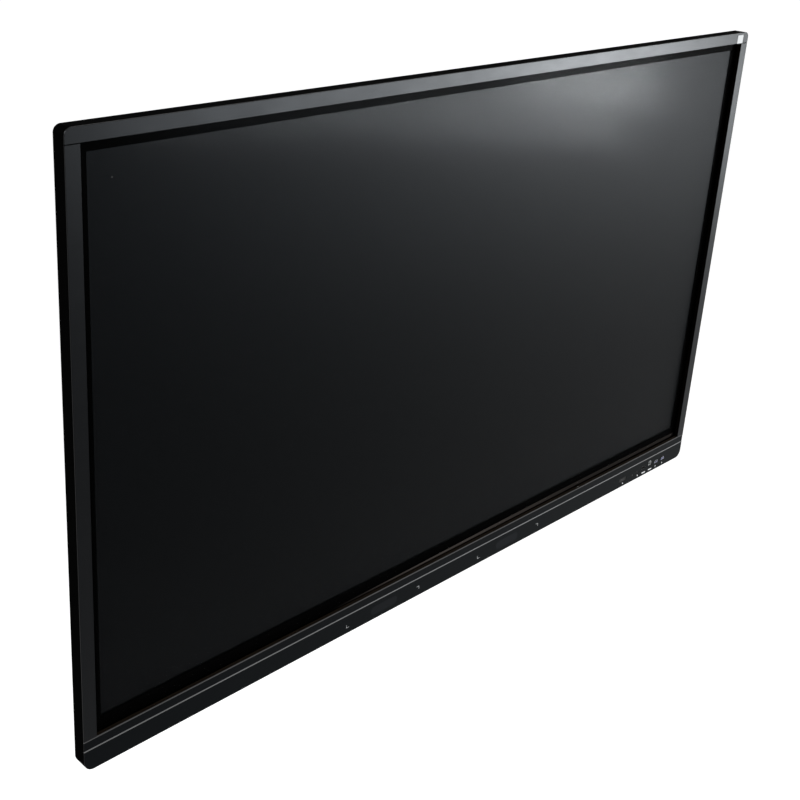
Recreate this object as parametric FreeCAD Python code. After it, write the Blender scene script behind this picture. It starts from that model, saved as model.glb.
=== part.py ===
import FreeCAD, Part
import math
import os

# Wall-mounted touchscreen signage display of the 75 inch class.
# The front looks towards -Y, X runs to the viewer's right and Z runs up.
# Pieces are drawn with X from the middle, Y as the depth behind the front face of the bezel and Z as the
# height above the bottom edge. Export then moves the origin to the middle of the four wall-mount threads,
# on the plane where a wall plate bears.

# Screen and outline
active_width = 1650.2
active_height = 928.3
side_margin = 40.2
top_margin = 39.5
bottom_margin = 84.6
corner_radius = 12.0
lower_corner_radius = 18.0

# Front strips
side_strip_width = 24.2
top_strip_height = 22.8
strip_seam = 0.8
strip_thickness = 1.5
strip_chamfer = 0.4

# Frame rails and corner keys
side_depth = 30.4
rail_wall = 2.2
rail_flange = 2.0
rail_lip_width = 8.0
rail_lip_thickness = 2.0
rail_rear_radius = 3.0
rail_front_land = 5.0
corner_key_width = 6.0
corner_key_arm = 60.0
corner_key_depth = 9.0

# Lower front: panel, pen ledge and bright trims
panel_height = 39.8
panel_pad = 1.2
panel_rib = 1.5
panel_rib_depth = 6.0
panel_rib_pitch = 160.0
panel_post_width = 6.0
panel_post_height = 31.0
panel_posts_from_edge = (271.0, 222.0, 123.8, 63.0)
trim_height = 2.0
trim_chamfer = 0.9
ledge_band_height = 16.5
ledge_recess = 0.6
ledge_tail = 3.3

# Pen-holding zones: a magnet behind the panel, one each side of the middle
pen_zone_x = 187.0
pen_zone_z = 21.0
pen_zone_width = 72.0
pen_zone_height = 24.0
pen_magnet_thickness = 4.0

# Touch frame and glass
filter_wall = 1.4
filter_hook = 2.0
filter_hook_thickness = 0.8
glass_recess = 8.3
glass_thickness = 4.0
glass_edge = 9.0
glass_bottom = 44.0
seal_width = 3.5
seal_edge = 0.5
touch_board_thickness = 1.2
touch_board_width = 5.6
touch_board_gap = 0.4
touch_led_height = 2.8
touch_led_size = 2.5
touch_led_pitch = 110.0

# Display module, from the panel to the back of its chassis
cell_gap = 1.9
cell_thickness = 1.4
cell_grow = 8.0
sheet_stack = 1.0
sheet_grow = 12.0
diffuser_thickness = 2.0
diffuser_grow = 18.0
module_grow = 23.6
module_wall = 2.5
module_wall_depth = 11.7
module_lip = 2.0
backlight_depth = 17.4
chassis_sheet = 1.0
chassis_rim = 6.0
chassis_slope = 21.0
reflector_sheet = 0.5
bar_count = 8
bar_height = 14.0
bar_thickness = 1.2
bar_end_gap = 45.0
led_count = 7
led_size = 6.0
led_height = 1.2
bracket_length = 40.0
bracket_thickness = 1.5
bracket_shares_level = (-0.75, -0.25, 0.25, 0.75)
bracket_shares_upright = (-0.6, 0.0, 0.6)

# Wall mount: 600 by 400 mm pattern of M8 threads in hexagonal posts
mount_height = 500.0
mount_spacing_x = 600.0
mount_spacing_z = 400.0
mount_thread_radius = 4.0
mount_thread_depth = 28.0
mount_post_width = 19.0
mount_rail_width = 50.0
mount_rail_flange = 8.0
mount_rail_depth = 11.0
mount_rail_sheet = 2.5
mount_rail_overrun = 34.0

# Rear cover and its electronics hump
cover_sheet = 1.5
cover_edge = 6.0
cover_slope_start = 14.0
cover_slope_end = 44.0
cover_bevel = 12.0
plateau_depth = 44.0
rear_depth = 86.0
hump_beside_mount = 150.0
hump_beyond_mount = 100.0
hump_slope = 24.0
hump_bevel = 30.0
bead_width = 16.0
bead_rise = 3.0
bead_slope = 3.0
bead_margin = 45.0
bead_count = 4
bead_gap_at_middle = 120.0
vent_width = 4.0
vent_length = 34.0
vent_pitch = 16.0
vent_count = 27
vent_margin = 6.0
upper_vent_gap = 40.0
grille_count = 10
grille_pitch = 12.0

# Bays cut into the hump: sockets at the right, mains at the lower left
bay_depth = 50.0
bay_margin = 13.0
socket_wall_inset = 65.0
socket_bay_rise = 112.0
mains_wall_rise = 65.0
mains_bay_inset = 40.0
mains_bay_width = 160.0

# Cover screws, spread along the sides as shares of the outline
cover_screw_inset = 10.0
cover_screw_head = 6.0
cover_screw_height = 1.6
cover_screws_level = (-0.9, -0.54, -0.18, 0.18, 0.54, 0.9)
cover_screws_upright = (0.2, 0.5, 0.8)

# Carry handles
handle_from_side = 245.3
handle_from_bottom = 290.0
handle_from_top = 292.4
handle_length = 160.0
handle_width = 22.0
handle_rise = 36.0
handle_bar = 10.0
handle_foot = 24.0
handle_toe = 7.0
handle_lean = 14.0
handle_outer_radius = 9.0
handle_inner_radius = 5.0

# Loudspeakers: oblong drivers in sealed boxes that face down
speaker_x = 160.0
speaker_width = 140.0
speaker_height = 66.0
speaker_depth = 36.0
speaker_wall = 2.5
speaker_lift = 8.0
speaker_foot_rise = 20.0
speaker_foot_height = 12.0
driver_half_width = 33.0
driver_half_depth = 13.0
driver_rim = 3.0
driver_flange = 1.5
driver_basket = 14.0
driver_magnet_half = 9.0
driver_magnet_height = 10.0
driver_cone_depth = 8.0

# Boards in the hump
board_standoff = 15.0
standoff_width = 6.0
standoff_inset = 6.0
pcb_thickness = 1.6
main_board_width = 301.0
main_board_height = 214.0
main_board_rise = 8.0
main_board_gap = 2.5
chip_count = 4
chip_size = 13.0
chip_pitch = 34.0
chip_height = 1.2
chip_inset = 30.0
heat_sink_size = 90.0
heat_sink_inset = 60.0
heat_sink_base = 5.0
heat_sink_height = 22.0
heat_sink_fin = 2.0
heat_sink_fins = 9
power_board_inset = 65.0
power_board_rise = 65.0
power_board_width = 275.0
power_board_height = 290.0
transformer_count = 3
transformer_size = 40.0
transformer_pitch = 70.0
transformer_height = 24.0
capacitor_radius = 15.0
capacitor_height = 26.0
cooling_plate_inset = 20.0
cooling_plate_thickness = 4.0
cooling_plate_height = 25.0
timing_board_width = 150.0
timing_board_height = 60.0
timing_board_drop = 50.0
timing_board_shift = -15.0
ribbon_socket_length = 40.0
ribbon_socket_width = 5.0
ribbon_socket_height = 3.0

# Plug-in computer slot with its blind cover plate
slot_length = 180.0
slot_height = 120.0
slot_gap = 12.0
slot_rear_gap = 2.0
slot_sheet = 1.0
slot_lip = 6.0
slot_leg_inset = 14.0
slot_leg_setback = 40.0
slot_tab_length = 60.0
slot_tab_rise = 8.5
slot_tab_inset = 10.0
slot_tab_thickness = 2.0
thumb_screw_width = 9.7
thumb_screw_height = 9.0
thumb_screw_sides = 12

# Socket shells, each as (width, height, bevel of the top corners, bevel of the bottom corners)
usb_a_shell = (13.6, 6.4, 0.0, 0.0)
usb_b_shell = (12.4, 11.4, 2.6, 0.0)
video_shell = (15.6, 6.4, 0.0, 1.9)
usb_c_shell = (9.4, 3.8, 1.1, 1.1)
serial_shell = (17.9, 9.3, 0.0, 2.2)
shell_sheet = 0.5
shell_back = 1.5
tongue_setback = 4.6

# Tongues, each as (width, thickness, height above the middle of the shell)
usb_a_tongue = (11.2, 2.2, 0.6)
usb_b_tongue = (5.6, 3.2, 0.0)
video_tongue = (11.0, 1.6, 0.3)
usb_c_tongue = (6.8, 0.8, 0.0)

# Front controls: distances from the right edge and heights above the bottom edge
button_from_edge = 248.8
button_z = 18.0
button_width = 28.0
button_height = 10.0
button_corner = 1.5
button_recess = 0.4
button_travel = 0.8
button_cap = 1.4
button_lip = 1.0
plunger_radius = 1.7
plunger_overlap = 1.2
switch_width = 6.2
switch_height = 5.0
sensor_from_edge = 208.3
sensor_z = 16.0
sensor_width = 3.0
sensor_height = 5.0
sensor_recess = 0.2
sensor_base_lip = 1.0
usb_c_from_edge = 187.3
usb_c_z = 18.0
video_from_edge = 163.3
video_z = 21.0
usb_b_from_edge = 136.3
usb_b_z = 25.0
usb_a_from_edge = (108.8, 80.3)
usb_a_z = 20.0
port_board_depth = 15.5
port_board_margin = 6.0
port_board_drop = 2.0
port_mouth_depth = 0.5

# Rear sockets: heights above the lower edge of the main board
audio_rises = (10.0, 22.0)
video_rises = (41.0, 63.0, 85.0)
usb_rises = (105.0, 123.0)
network_rises = (144.0, 163.0)
serial_rise = 192.0
rear_socket_length = 16.0
rear_socket_proud = 0.5
network_size = (16.4, 13.6)
network_wall = 1.6
network_mouth = 8.4
network_key = 6.0
network_key_height = 2.0
serial_size = (30.8, 12.4)
serial_proud = 4.5
serial_mouth = 12.0
audio_size = (10.0, 8.0)
audio_bore_radius = 1.8
audio_bore_depth = 14.0

# Mains inlet and rocker switch, both facing down
mains_depth = 68.0
inlet_inset = 95.0
inlet_body = (27.4, 19.8)
inlet_flange = 3.0
inlet_length = 22.0
inlet_wall = 1.5
inlet_floor = 4.0
inlet_bevel = 4.5
inlet_pin = (2.0, 4.0)
inlet_pin_spacing = 7.0
inlet_pin_offset = 2.0
inlet_pin_setback = 3.0
switch_inset = 150.0
switch_body = (23.4, 15.0)
switch_flange = 1.6
switch_length = 18.0
switch_wall = 1.4
switch_floor = 2.0
mains_flange_thickness = 2.2
rocker_pivot = 3.0
rocker_pin_radius = 1.5
rocker_tip_gap = 1.3
rocker_face = 3.8
rocker_valley = 2.4
rocker_edge = 0.5
rocker_back = 3.6
rocker_back_half = 2.8
rocker_tilt = 8.0

# Clearances
fit_gap = 0.3
port_gap = 0.4
running_gap = 0.06
cut_through = 1.0

# Values that follow from the ones above
half_width = active_width / 2 + side_margin
height = bottom_margin + active_height + top_margin
flange_back = strip_thickness + rail_flange
lip_front = side_depth - rail_lip_thickness
panel_back = strip_thickness + panel_pad
lower_trim_top = panel_height + trim_height
ledge_top = lower_trim_top + ledge_band_height
opening_bottom = ledge_top + trim_height
opening_top = height - top_strip_height
opening_half = half_width - side_strip_width
glass_back = glass_recess + glass_thickness
cell_front = glass_back + cell_gap
sheet_front = cell_front + cell_thickness
diffuser_front = sheet_front + sheet_stack
chassis_front = diffuser_front + diffuser_thickness
chassis_floor = chassis_front + backlight_depth
chassis_back = chassis_floor + chassis_sheet
wall_back = glass_back + module_wall_depth
cover_inside = plateau_depth - cover_sheet
hump_inside = rear_depth - cover_sheet
board_front = chassis_back + board_standoff
board_back = board_front + pcb_thickness
mount_x = mount_spacing_x / 2
mount_low = mount_height - mount_spacing_z / 2
mount_high = mount_height + mount_spacing_z / 2
hump_half_width = mount_x + hump_beside_mount
hump_bottom = mount_low - hump_beyond_mount
hump_top = mount_high + hump_beyond_mount
handle_x = half_width - handle_from_side
handle_places_z = (handle_from_bottom, height - handle_from_top)
socket_wall_x = hump_half_width - socket_wall_inset
socket_bay_low = hump_bottom + socket_bay_rise
mains_wall_z = hump_bottom + mains_wall_rise
mains_bay_x = -hump_half_width + mains_bay_inset
board_right = socket_wall_x - cover_sheet - main_board_gap
board_low = socket_bay_low + main_board_rise
slot_low = board_low + main_board_height + slot_gap
slot_top = slot_low + slot_height
slot_front = bay_depth + slot_rear_gap
slot_back = hump_inside - slot_rear_gap
socket_bay_top = slot_top + bay_margin
power_left = -hump_half_width + power_board_inset
power_low = mains_wall_z + power_board_rise
timing_left = timing_board_shift - timing_board_width / 2
timing_low = hump_top - timing_board_drop - timing_board_height
inlet_x = -hump_half_width + inlet_inset
switch_x = -hump_half_width + switch_inset
mains_mouth_z = mains_wall_z - mains_flange_thickness
button_x = half_width - button_from_edge
sensor_x = half_width - sensor_from_edge
port_length = port_board_depth - port_mouth_depth

# Board outlines, each as (left, right, low, high)
main_board_area = (board_right - main_board_width, board_right, board_low, board_low + main_board_height)
power_board_area = (power_left, power_left + power_board_width, power_low, power_low + power_board_height)
timing_right = timing_left + timing_board_width
timing_board_area = (timing_left, timing_right, timing_low, timing_low + timing_board_height)

# Front sockets, each as (shell, x, z)
usb_a_places = [(usb_a_shell, half_width - inset, usb_a_z) for inset in usb_a_from_edge]
usb_b_place = (usb_b_shell, half_width - usb_b_from_edge, usb_b_z)
video_place = (video_shell, half_width - video_from_edge, video_z)
usb_c_place = (usb_c_shell, half_width - usb_c_from_edge, usb_c_z)

V = FreeCAD.Vector
parts = {}


# Building blocks
def box(x0, x1, y0, y1, z0, z1):
    return Part.makeBox(x1 - x0, y1 - y0, z1 - z0, V(x0, y0, z0))


def block(x, z, wide, tall, y0, y1):
    """Upright block round a centre line that runs back from the front."""
    return box(x - wide / 2, x + wide / 2, y0, y1, z - tall / 2, z + tall / 2)


def fuse(shapes):
    joined = shapes[0]
    for shape in shapes[1:]:
        joined = joined.fuse(shape)
    return joined.removeSplitter()


def cut(shape, tools):
    for tool in tools:
        shape = shape.cut(tool)
    return shape


def polygon(corners):
    return Part.makePolygon(corners + corners[:1])


def prism(corners, sweep):
    return Part.Face(polygon(corners)).extrude(sweep)


def frustum(near, far):
    """Solid with flat sides between two closed wires that have the same number of straight edges."""
    start = [vertex.Point for vertex in near.OrderedVertexes]
    end = [vertex.Point for vertex in far.OrderedVertexes]
    faces = [Part.Face(near), Part.Face(far)]
    for index in range(len(start)):
        following = (index + 1) % len(start)
        faces.append(Part.Face(polygon([start[index], start[following], end[following], end[index]])))
    solid = Part.Solid(Part.Shell(faces))
    if solid.Volume < 0:
        solid.reverse()
    return solid


def outline(x0, x1, z0, z1, depth, r_top=0.0, r_bottom=0.0):
    """Closed wire of an upright rectangle with rounded corners, at one depth."""
    corners = (
        (x1, z0, 1, -1, r_bottom, True),
        (x1, z1, 1, 1, r_top, False),
        (x0, z1, -1, 1, r_top, True),
        (x0, z0, -1, -1, r_bottom, False),
    )
    edges = []
    ends = []
    for x, z, side_x, side_z, radius, level_first in corners:
        level = V(x - side_x * radius, depth, z)
        upright = V(x, depth, z - side_z * radius)
        sag = radius * (1 - math.sqrt(0.5))
        middle = V(x - side_x * sag, depth, z - side_z * sag)
        first, last = (level, upright) if level_first else (upright, level)
        ends.append((first, middle, last, radius))
    for index, (first, middle, last, radius) in enumerate(ends):
        before = ends[index - 1][2]
        edges.append(Part.LineSegment(before, first).toShape())
        if radius > 0:
            edges.append(Part.Arc(first, middle, last).toShape())
    return Part.Wire(edges)


def bevelled(x0, x1, z0, z1, depth, top, bottom):
    """Closed wire of an upright rectangle with straight bevels on its top and bottom corners."""
    corners = []
    for x, z, turn_x, turn_z, bevel in (
        (x0, z0, 1, 1, bottom), (x1, z0, -1, 1, bottom), (x1, z1, -1, -1, top), (x0, z1, 1, -1, top),
    ):
        level = V(x + turn_x * bevel, depth, z)
        upright = V(x, depth, z + turn_z * bevel)
        if bevel == 0:
            corners.append(level)
        elif turn_x == turn_z:
            corners += [upright, level]
        else:
            corners += [level, upright]
    return polygon(corners)


def slab(x0, x1, z0, z1, y0, y1, r_top=0.0, r_bottom=0.0):
    wire = outline(x0, x1, z0, z1, y0, r_top, r_bottom)
    return Part.Face(wire).extrude(V(0, y1 - y0, 0))


def screen_outline(grow, depth):
    """Outline of the active screen area, grown by the same amount on every side."""
    half = active_width / 2 + grow
    low = bottom_margin - grow
    return outline(-half, half, low, low + active_height + 2 * grow, depth)


def screen_slab(grow, y0, y1):
    return Part.Face(screen_outline(grow, y0)).extrude(V(0, y1 - y0, 0))


def inset_slab(inset, y0, y1):
    """Slab inside the outer outline, set in by the same amount all round, with matching corners."""
    upper = max(corner_radius - inset, 0.0)
    lower = max(lower_corner_radius - inset, 0.0)
    return slab(-half_width + inset, half_width - inset, inset, height - inset, y0, y1, upper, lower)


def along_x(points, x0, x1):
    """Extruded profile: points are (depth, height)."""
    return prism([V(x0, y, z) for y, z in points], V(x1 - x0, 0, 0))


def along_z(points, z0, z1):
    """Extruded profile: points are (across, depth)."""
    return prism([V(x, y, z0) for x, y in points], V(0, 0, z1 - z0))


def regular_prism(centre, first, second, width, sides, sweep):
    """Prism with equal sides round a centre, drawn in the plane of two directions."""
    radius = width / 2 / math.cos(math.pi / sides)
    corners = []
    for step in range(sides):
        angle = 2 * math.pi * step / sides
        corners.append(centre + first * (radius * math.cos(angle)) + second * (radius * math.sin(angle)))
    return prism(corners, sweep)


def hex_post(x, z, y0, y1, width):
    return regular_prism(V(x, y0, z), V(1, 0, 0), V(0, 0, 1), width, 6, V(0, y1 - y0, 0))


def peg(x, z, y0, y1, radius):
    return Part.makeCylinder(radius, y1 - y0, V(x, y0, z), V(0, 1, 0))


def chamfer_front(solid):
    """Small chamfer round the front face of a strip or panel."""
    front_edges = [edge for edge in solid.Edges if edge.BoundBox.YMax < strip_chamfer / 2]
    return solid.makeChamfer(strip_chamfer, front_edges)


# Front strips
def bezel_strips():
    """Satin strips on the front: a full-width top one and two sides that butt against it."""
    top = slab(-half_width, half_width, opening_top, height, 0, strip_thickness, corner_radius)
    side_top = opening_top - strip_seam
    left = slab(-half_width, -opening_half, opening_bottom, side_top, 0, strip_thickness)
    right = slab(opening_half, half_width, opening_bottom, side_top, 0, strip_thickness)
    for name, strip in (("bezel_top", top), ("bezel_left", left), ("bezel_right", right)):
        parts[name] = chamfer_front(strip)


# Frame rails and corner keys
def frame_ring():
    """C-section ring: a front flange behind the strips, the outer wall and a rear lip."""
    ring = inset_slab(0, strip_thickness, side_depth)
    rear_edges = [edge for edge in ring.Edges if edge.BoundBox.YMin > side_depth - cut_through / 2]
    ring = ring.makeFillet(rail_rear_radius, rear_edges)
    channel = inset_slab(rail_wall, flange_back, lip_front)
    rear_opening = inset_slab(rail_lip_width, lip_front - cut_through, side_depth + cut_through)
    window = box(
        -opening_half - filter_wall, opening_half + filter_wall,
        strip_thickness - cut_through, flange_back + cut_through,
        opening_bottom, opening_top + filter_wall,
    )
    lower_window = slab(
        -half_width + rail_front_land, half_width - rail_front_land,
        rail_front_land, opening_bottom,
        strip_thickness - cut_through, flange_back + cut_through,
        0, lower_corner_radius - rail_front_land,
    )
    return cut(ring, [channel, rear_opening, window, lower_window])


def frame_rails():
    """The ring parted at its mitres into four rails."""
    ring = frame_ring()
    reach = 4 * side_strip_width
    x = half_width + cut_through
    low = -cut_through
    high = height + cut_through
    wedges = {
        "top": [(-x, high), (x, high), (x - reach, high - reach), (-x + reach, high - reach)],
        "bottom": [(-x, low), (-x + reach, low + reach), (x - reach, low + reach), (x, low)],
        "left": [(-x, low), (-x, high), (-x + reach, high - reach), (-x + reach, low + reach)],
        "right": [(x, low), (x - reach, low + reach), (x - reach, high - reach), (x, high)],
    }
    for side, points in wedges.items():
        wedge = prism([V(px, 0, pz) for px, pz in points], V(0, side_depth + cut_through, 0))
        parts["frame_rail_" + side] = ring.common(wedge)


def corner_keys():
    """Four L-shaped keys that lie in the rails' channel and hold the mitres shut."""
    front = glass_back + fit_gap
    back = front + corner_key_depth
    inset = rail_wall + corner_key_width
    ring = inset_slab(rail_wall, front, back).cut(inset_slab(inset, front, back))
    keys = []
    for x0 in (-half_width, half_width - corner_key_arm):
        for z0 in (0, height - corner_key_arm):
            keys.append(ring.common(box(x0, x0 + corner_key_arm, front, back, z0, z0 + corner_key_arm)))
    parts["corner_keys"] = Part.makeCompound(keys)


# Socket forms, drawn round the Y axis with the mouth at depth 0
def socket_face(shell, depth, grow):
    """Face of a socket's outline, grown outwards by a clearance or inwards by its sheet."""
    wide, tall, top, bottom = shell
    bevel_grow = (2 - math.sqrt(2)) * grow
    top = max(top + bevel_grow, 0) if top > 0 else 0
    bottom = max(bottom + bevel_grow, 0) if bottom > 0 else 0
    half_x = wide / 2 + grow
    half_z = tall / 2 + grow
    return Part.Face(bevelled(-half_x, half_x, -half_z, half_z, depth, top, bottom))


def socket_shell(shell, length):
    """Sheet shell that is open at its mouth and closed at the back."""
    body = socket_face(shell, 0, 0).extrude(V(0, length, 0))
    hollow = socket_face(shell, -cut_through, -shell_sheet)
    return body.cut(hollow.extrude(V(0, length - shell_back + cut_through, 0)))


def socket_tongue(tongue, length):
    """Tongue that stands on the back of its shell, set back from the mouth."""
    wide, thick, rise = tongue
    return block(0, rise, wide, thick, tongue_setback, length - shell_back)


def at_front(shape, x, z):
    """A socket form put behind the lower panel, facing the viewer."""
    moved = shape.copy()
    moved.translate(V(x, port_mouth_depth, z))
    return moved


def at_rear(shape, rise, tall):
    """A socket form laid on the main board's edge, facing right out of the socket bay."""
    moved = shape.copy()
    turn = FreeCAD.Rotation(V(0, 0, -1), V(-1, 0, 0), V(0, 1, 0), "XYZ")
    place = V(socket_wall_x + rear_socket_proud, board_back + tall / 2, board_low + rise)
    moved.Placement = FreeCAD.Placement(place, turn)
    return moved


# Lower front
def lower_front_panel():
    """Panel with a stiffening pad, upright ribs, posts for the port board and holes for the controls."""
    face = slab(-half_width, half_width, 0, panel_height, 0, strip_thickness, 0, lower_corner_radius)
    inset = rail_front_land + fit_gap
    pad_top = panel_height - ledge_tail - fit_gap
    pad = slab(
        -half_width + inset, half_width - inset, inset, pad_top,
        strip_thickness, panel_back, 0, lower_corner_radius - inset,
    )
    pieces = [chamfer_front(face), pad]
    count = int((half_width - inset - panel_rib) / panel_rib_pitch)
    for index in range(-count, count + 1):
        x = index * panel_rib_pitch
        clear_of_pens = abs(abs(x) - pen_zone_x) > (pen_zone_width + panel_rib) / 2
        clear_of_controls = x < button_x - button_width
        if clear_of_pens and clear_of_controls:
            middle = (inset + pad_top) / 2
            rib_back = panel_back + panel_rib_depth
            pieces.append(block(x, middle, panel_rib, pad_top - inset, panel_back, rib_back))
    for from_edge in panel_posts_from_edge:
        x = half_width - from_edge
        pieces.append(hex_post(x, panel_post_height, panel_back, port_board_depth, panel_post_width))
    holes = [block(sensor_x, sensor_z, sensor_width, sensor_height, -cut_through, panel_back + cut_through)]
    holes.append(button_slab(fit_gap, -cut_through, panel_back + cut_through))
    for shell, x, z in usb_a_places + [usb_b_place, video_place, usb_c_place]:
        hole = socket_face(shell, -2 * cut_through, port_gap).extrude(V(0, panel_back + 2 * cut_through, 0))
        holes.append(at_front(hole, x, z))
    parts["lower_front_panel"] = cut(fuse(pieces), holes)


def trims_and_ledge():
    """Two polished trims with the dark ledge band set back between them."""
    for name, low in (("lower_trim_strip", panel_height), ("upper_trim_strip", ledge_top)):
        top = low + trim_height
        points = [
            (0, low), (0, top - trim_chamfer), (trim_chamfer, top),
            (strip_thickness, top), (strip_thickness, low),
        ]
        parts[name] = along_x(points, -half_width, half_width)
    inset = rail_front_land + fit_gap
    band = box(-half_width, half_width, ledge_recess, strip_thickness, lower_trim_top, ledge_top)
    tail = box(
        -half_width + inset, half_width - inset, strip_thickness, flange_back,
        panel_height - ledge_tail, ledge_top,
    )
    parts["pen_ledge"] = fuse([band, tail])


# Touch frame
def mitred_bar(side, section):
    """Bar along one side of the touch opening, mitred at both ends.

    The section's points are (outward from the opening's edge, depth)."""
    ends = {
        "top": ((-1, 1), (1, 1)),
        "bottom": ((-1, -1), (1, -1)),
        "left": ((-1, -1), (-1, 1)),
        "right": ((1, -1), (1, 1)),
    }
    wires = []
    for side_x, side_z in ends[side]:
        corners = []
        for outward, depth in section:
            x = side_x * (opening_half + outward)
            z = opening_top + outward if side_z > 0 else opening_bottom - outward
            corners.append(V(x, depth, z))
        wires.append(polygon(corners))
    return frustum(*wires)


def touch_board(side):
    """Board strip along one side of the opening, with its row of small infrared diodes."""
    level = side in ("top", "bottom")
    sign = 1 if side in ("top", "right") else -1
    edges = {"top": opening_top, "bottom": opening_bottom, "left": -opening_half, "right": opening_half}
    start, end = (-opening_half, opening_half) if level else (opening_bottom, opening_top)
    near = filter_wall + filter_hook + touch_board_gap
    back = flange_back + touch_board_thickness

    def strip(width, along0, along1, y0, y1):
        low, high = sorted((edges[side] + sign * near, edges[side] + sign * (near + width)))
        if level:
            return box(along0, along1, y0, y1, low, high)
        return box(low, high, y0, y1, along0, along1)

    pieces = [strip(touch_board_width, start, end, flange_back, back)]
    count = int((end - start) / touch_led_pitch)
    for index in range(count):
        along = start + (index + 0.5) * (end - start) / count
        half = touch_led_size / 2
        pieces.append(strip(touch_led_size, along - half, along + half, back, back + touch_led_height))
    return fuse(pieces)


def touch_frame():
    """Dark filter walls round the opening, with the infrared boards behind them."""
    hook_back = flange_back + filter_hook_thickness
    section = [
        (0, strip_thickness),
        (filter_wall, strip_thickness),
        (filter_wall, flange_back),
        (filter_wall + filter_hook, flange_back),
        (filter_wall + filter_hook, hook_back),
        (filter_wall, hook_back),
        (filter_wall, glass_recess - fit_gap),
        (0, glass_recess - fit_gap),
    ]
    for side in ("top", "bottom", "left", "right"):
        parts["ir_filter_" + side] = mitred_bar(side, section)
    parts["ir_emitter_boards"] = Part.makeCompound([touch_board("bottom"), touch_board("left")])
    parts["ir_receiver_boards"] = Part.makeCompound([touch_board("top"), touch_board("right")])


def glass_and_seal():
    x = half_width - glass_edge
    low = glass_bottom
    top = height - glass_edge
    parts["cover_glass"] = box(-x, x, glass_recess, glass_back, low, top)
    rings = []
    for inset in (seal_edge, seal_edge + seal_width):
        rings.append(box(-x + inset, x - inset, flange_back, glass_recess, low + inset, top - inset))
    parts["glass_seal"] = rings[0].cut(rings[1])


# Display module
def display_module():
    """Stack behind the glass: frame, panel, sheets, diffuser, reflector, light bars and chassis."""
    outer = screen_slab(module_grow, glass_back, wall_back)
    inner = screen_slab(module_grow - module_wall, cell_front, wall_back + cut_through)
    window = screen_slab(module_lip, glass_back - cut_through, cell_front + cut_through)
    parts["middle_frame"] = cut(outer, [inner, window])
    parts["lcd_cell"] = screen_slab(cell_grow, cell_front, sheet_front)
    parts["optical_sheets"] = screen_slab(sheet_grow, sheet_front, diffuser_front)
    parts["diffuser_plate"] = screen_slab(diffuser_grow, diffuser_front, chassis_front)

    rim_grow = module_grow - module_wall - fit_gap
    rim_back = chassis_front + chassis_sheet
    pan_grow = rim_grow - chassis_rim
    floor_grow = pan_grow - chassis_slope
    rim = screen_slab(rim_grow, chassis_front, rim_back)
    pan = frustum(
        screen_outline(pan_grow + chassis_sheet, rim_back),
        screen_outline(floor_grow + chassis_sheet, chassis_back),
    )
    hollow = frustum(screen_outline(pan_grow, chassis_front), screen_outline(floor_grow, chassis_floor))
    parts["backlight_chassis"] = fuse([rim, pan]).cut(hollow)

    tray_floor = chassis_floor - reflector_sheet
    inset = fit_gap + reflector_sheet
    tray = frustum(
        screen_outline(pan_grow - fit_gap, chassis_front),
        screen_outline(floor_grow - fit_gap, chassis_floor),
    )
    tray_hollow = frustum(
        screen_outline(pan_grow - inset, chassis_front),
        screen_outline(floor_grow - inset, tray_floor),
    )
    parts["reflector_tray"] = tray.cut(tray_hollow)

    bars = []
    half = active_width / 2 - bar_end_gap
    bar_pitch = active_height / bar_count
    led_pitch = 2 * half / led_count
    bar_front = tray_floor - bar_thickness
    for row in range(bar_count):
        z = bottom_margin + (row + 0.5) * bar_pitch
        pieces = [block(0, z, 2 * half, bar_height, bar_front, tray_floor)]
        for column in range(led_count):
            x = -half + (column + 0.5) * led_pitch
            pieces.append(block(x, z, led_size, led_size, bar_front - led_height, bar_front))
        bars.append(fuse(pieces))
    parts["led_bars"] = Part.makeCompound(bars)


def bracket_section(margin):
    """Cranked section from the middle frame's back edge to the rails' rear lip, as (inset, depth)."""
    near = rail_wall + fit_gap
    far = margin - module_grow + module_wall - fit_gap
    crank = wall_back + bracket_thickness
    lip_edge = rail_lip_width - fit_gap
    return [
        (near, wall_back), (far, wall_back), (far, crank),
        (lip_edge, crank), (lip_edge, lip_front), (near, lip_front),
    ]


def module_brackets():
    """Sheet brackets that hold the display module to the frame rails on all four sides."""
    brackets = []
    half = bracket_length / 2
    for share in bracket_shares_level:
        x = share * half_width
        top = [(y, height - inset) for inset, y in bracket_section(top_margin)]
        bottom = [(y, inset) for inset, y in bracket_section(bottom_margin)]
        brackets += [along_x(top, x - half, x + half), along_x(bottom, x - half, x + half)]
    for share in bracket_shares_upright:
        z = (1 + share) * height / 2
        for side in (-1, 1):
            points = [(side * (half_width - inset), y) for inset, y in bracket_section(side_margin)]
            brackets.append(along_z(points, z - half, z + half))
    parts["module_brackets"] = Part.makeCompound(brackets)


# Rear cover
def cover_solid(inset):
    """Outer form of the rear cover, or its inside when set in by the sheet thickness."""
    levels = []
    for edge, depth in ((cover_slope_start, side_depth + cover_sheet), (cover_slope_end, plateau_depth)):
        x = half_width - edge - inset
        low = edge + inset
        levels.append(bevelled(-x, x, low, height - low, depth - inset, cover_bevel, cover_bevel))
    base = frustum(*levels)
    levels = []
    for slope, depth in ((0, plateau_depth - cut_through), (hump_slope, rear_depth)):
        x = hump_half_width - slope - inset
        low = hump_bottom + slope + inset
        high = hump_top - slope - inset
        levels.append(bevelled(-x, x, low, high, depth - inset, hump_bevel, hump_bevel))
    form = base.fuse(frustum(*levels))
    for x0, x1, z in bead_runs():
        form = form.fuse(bead(x0, x1, z, inset))
    return form


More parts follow.
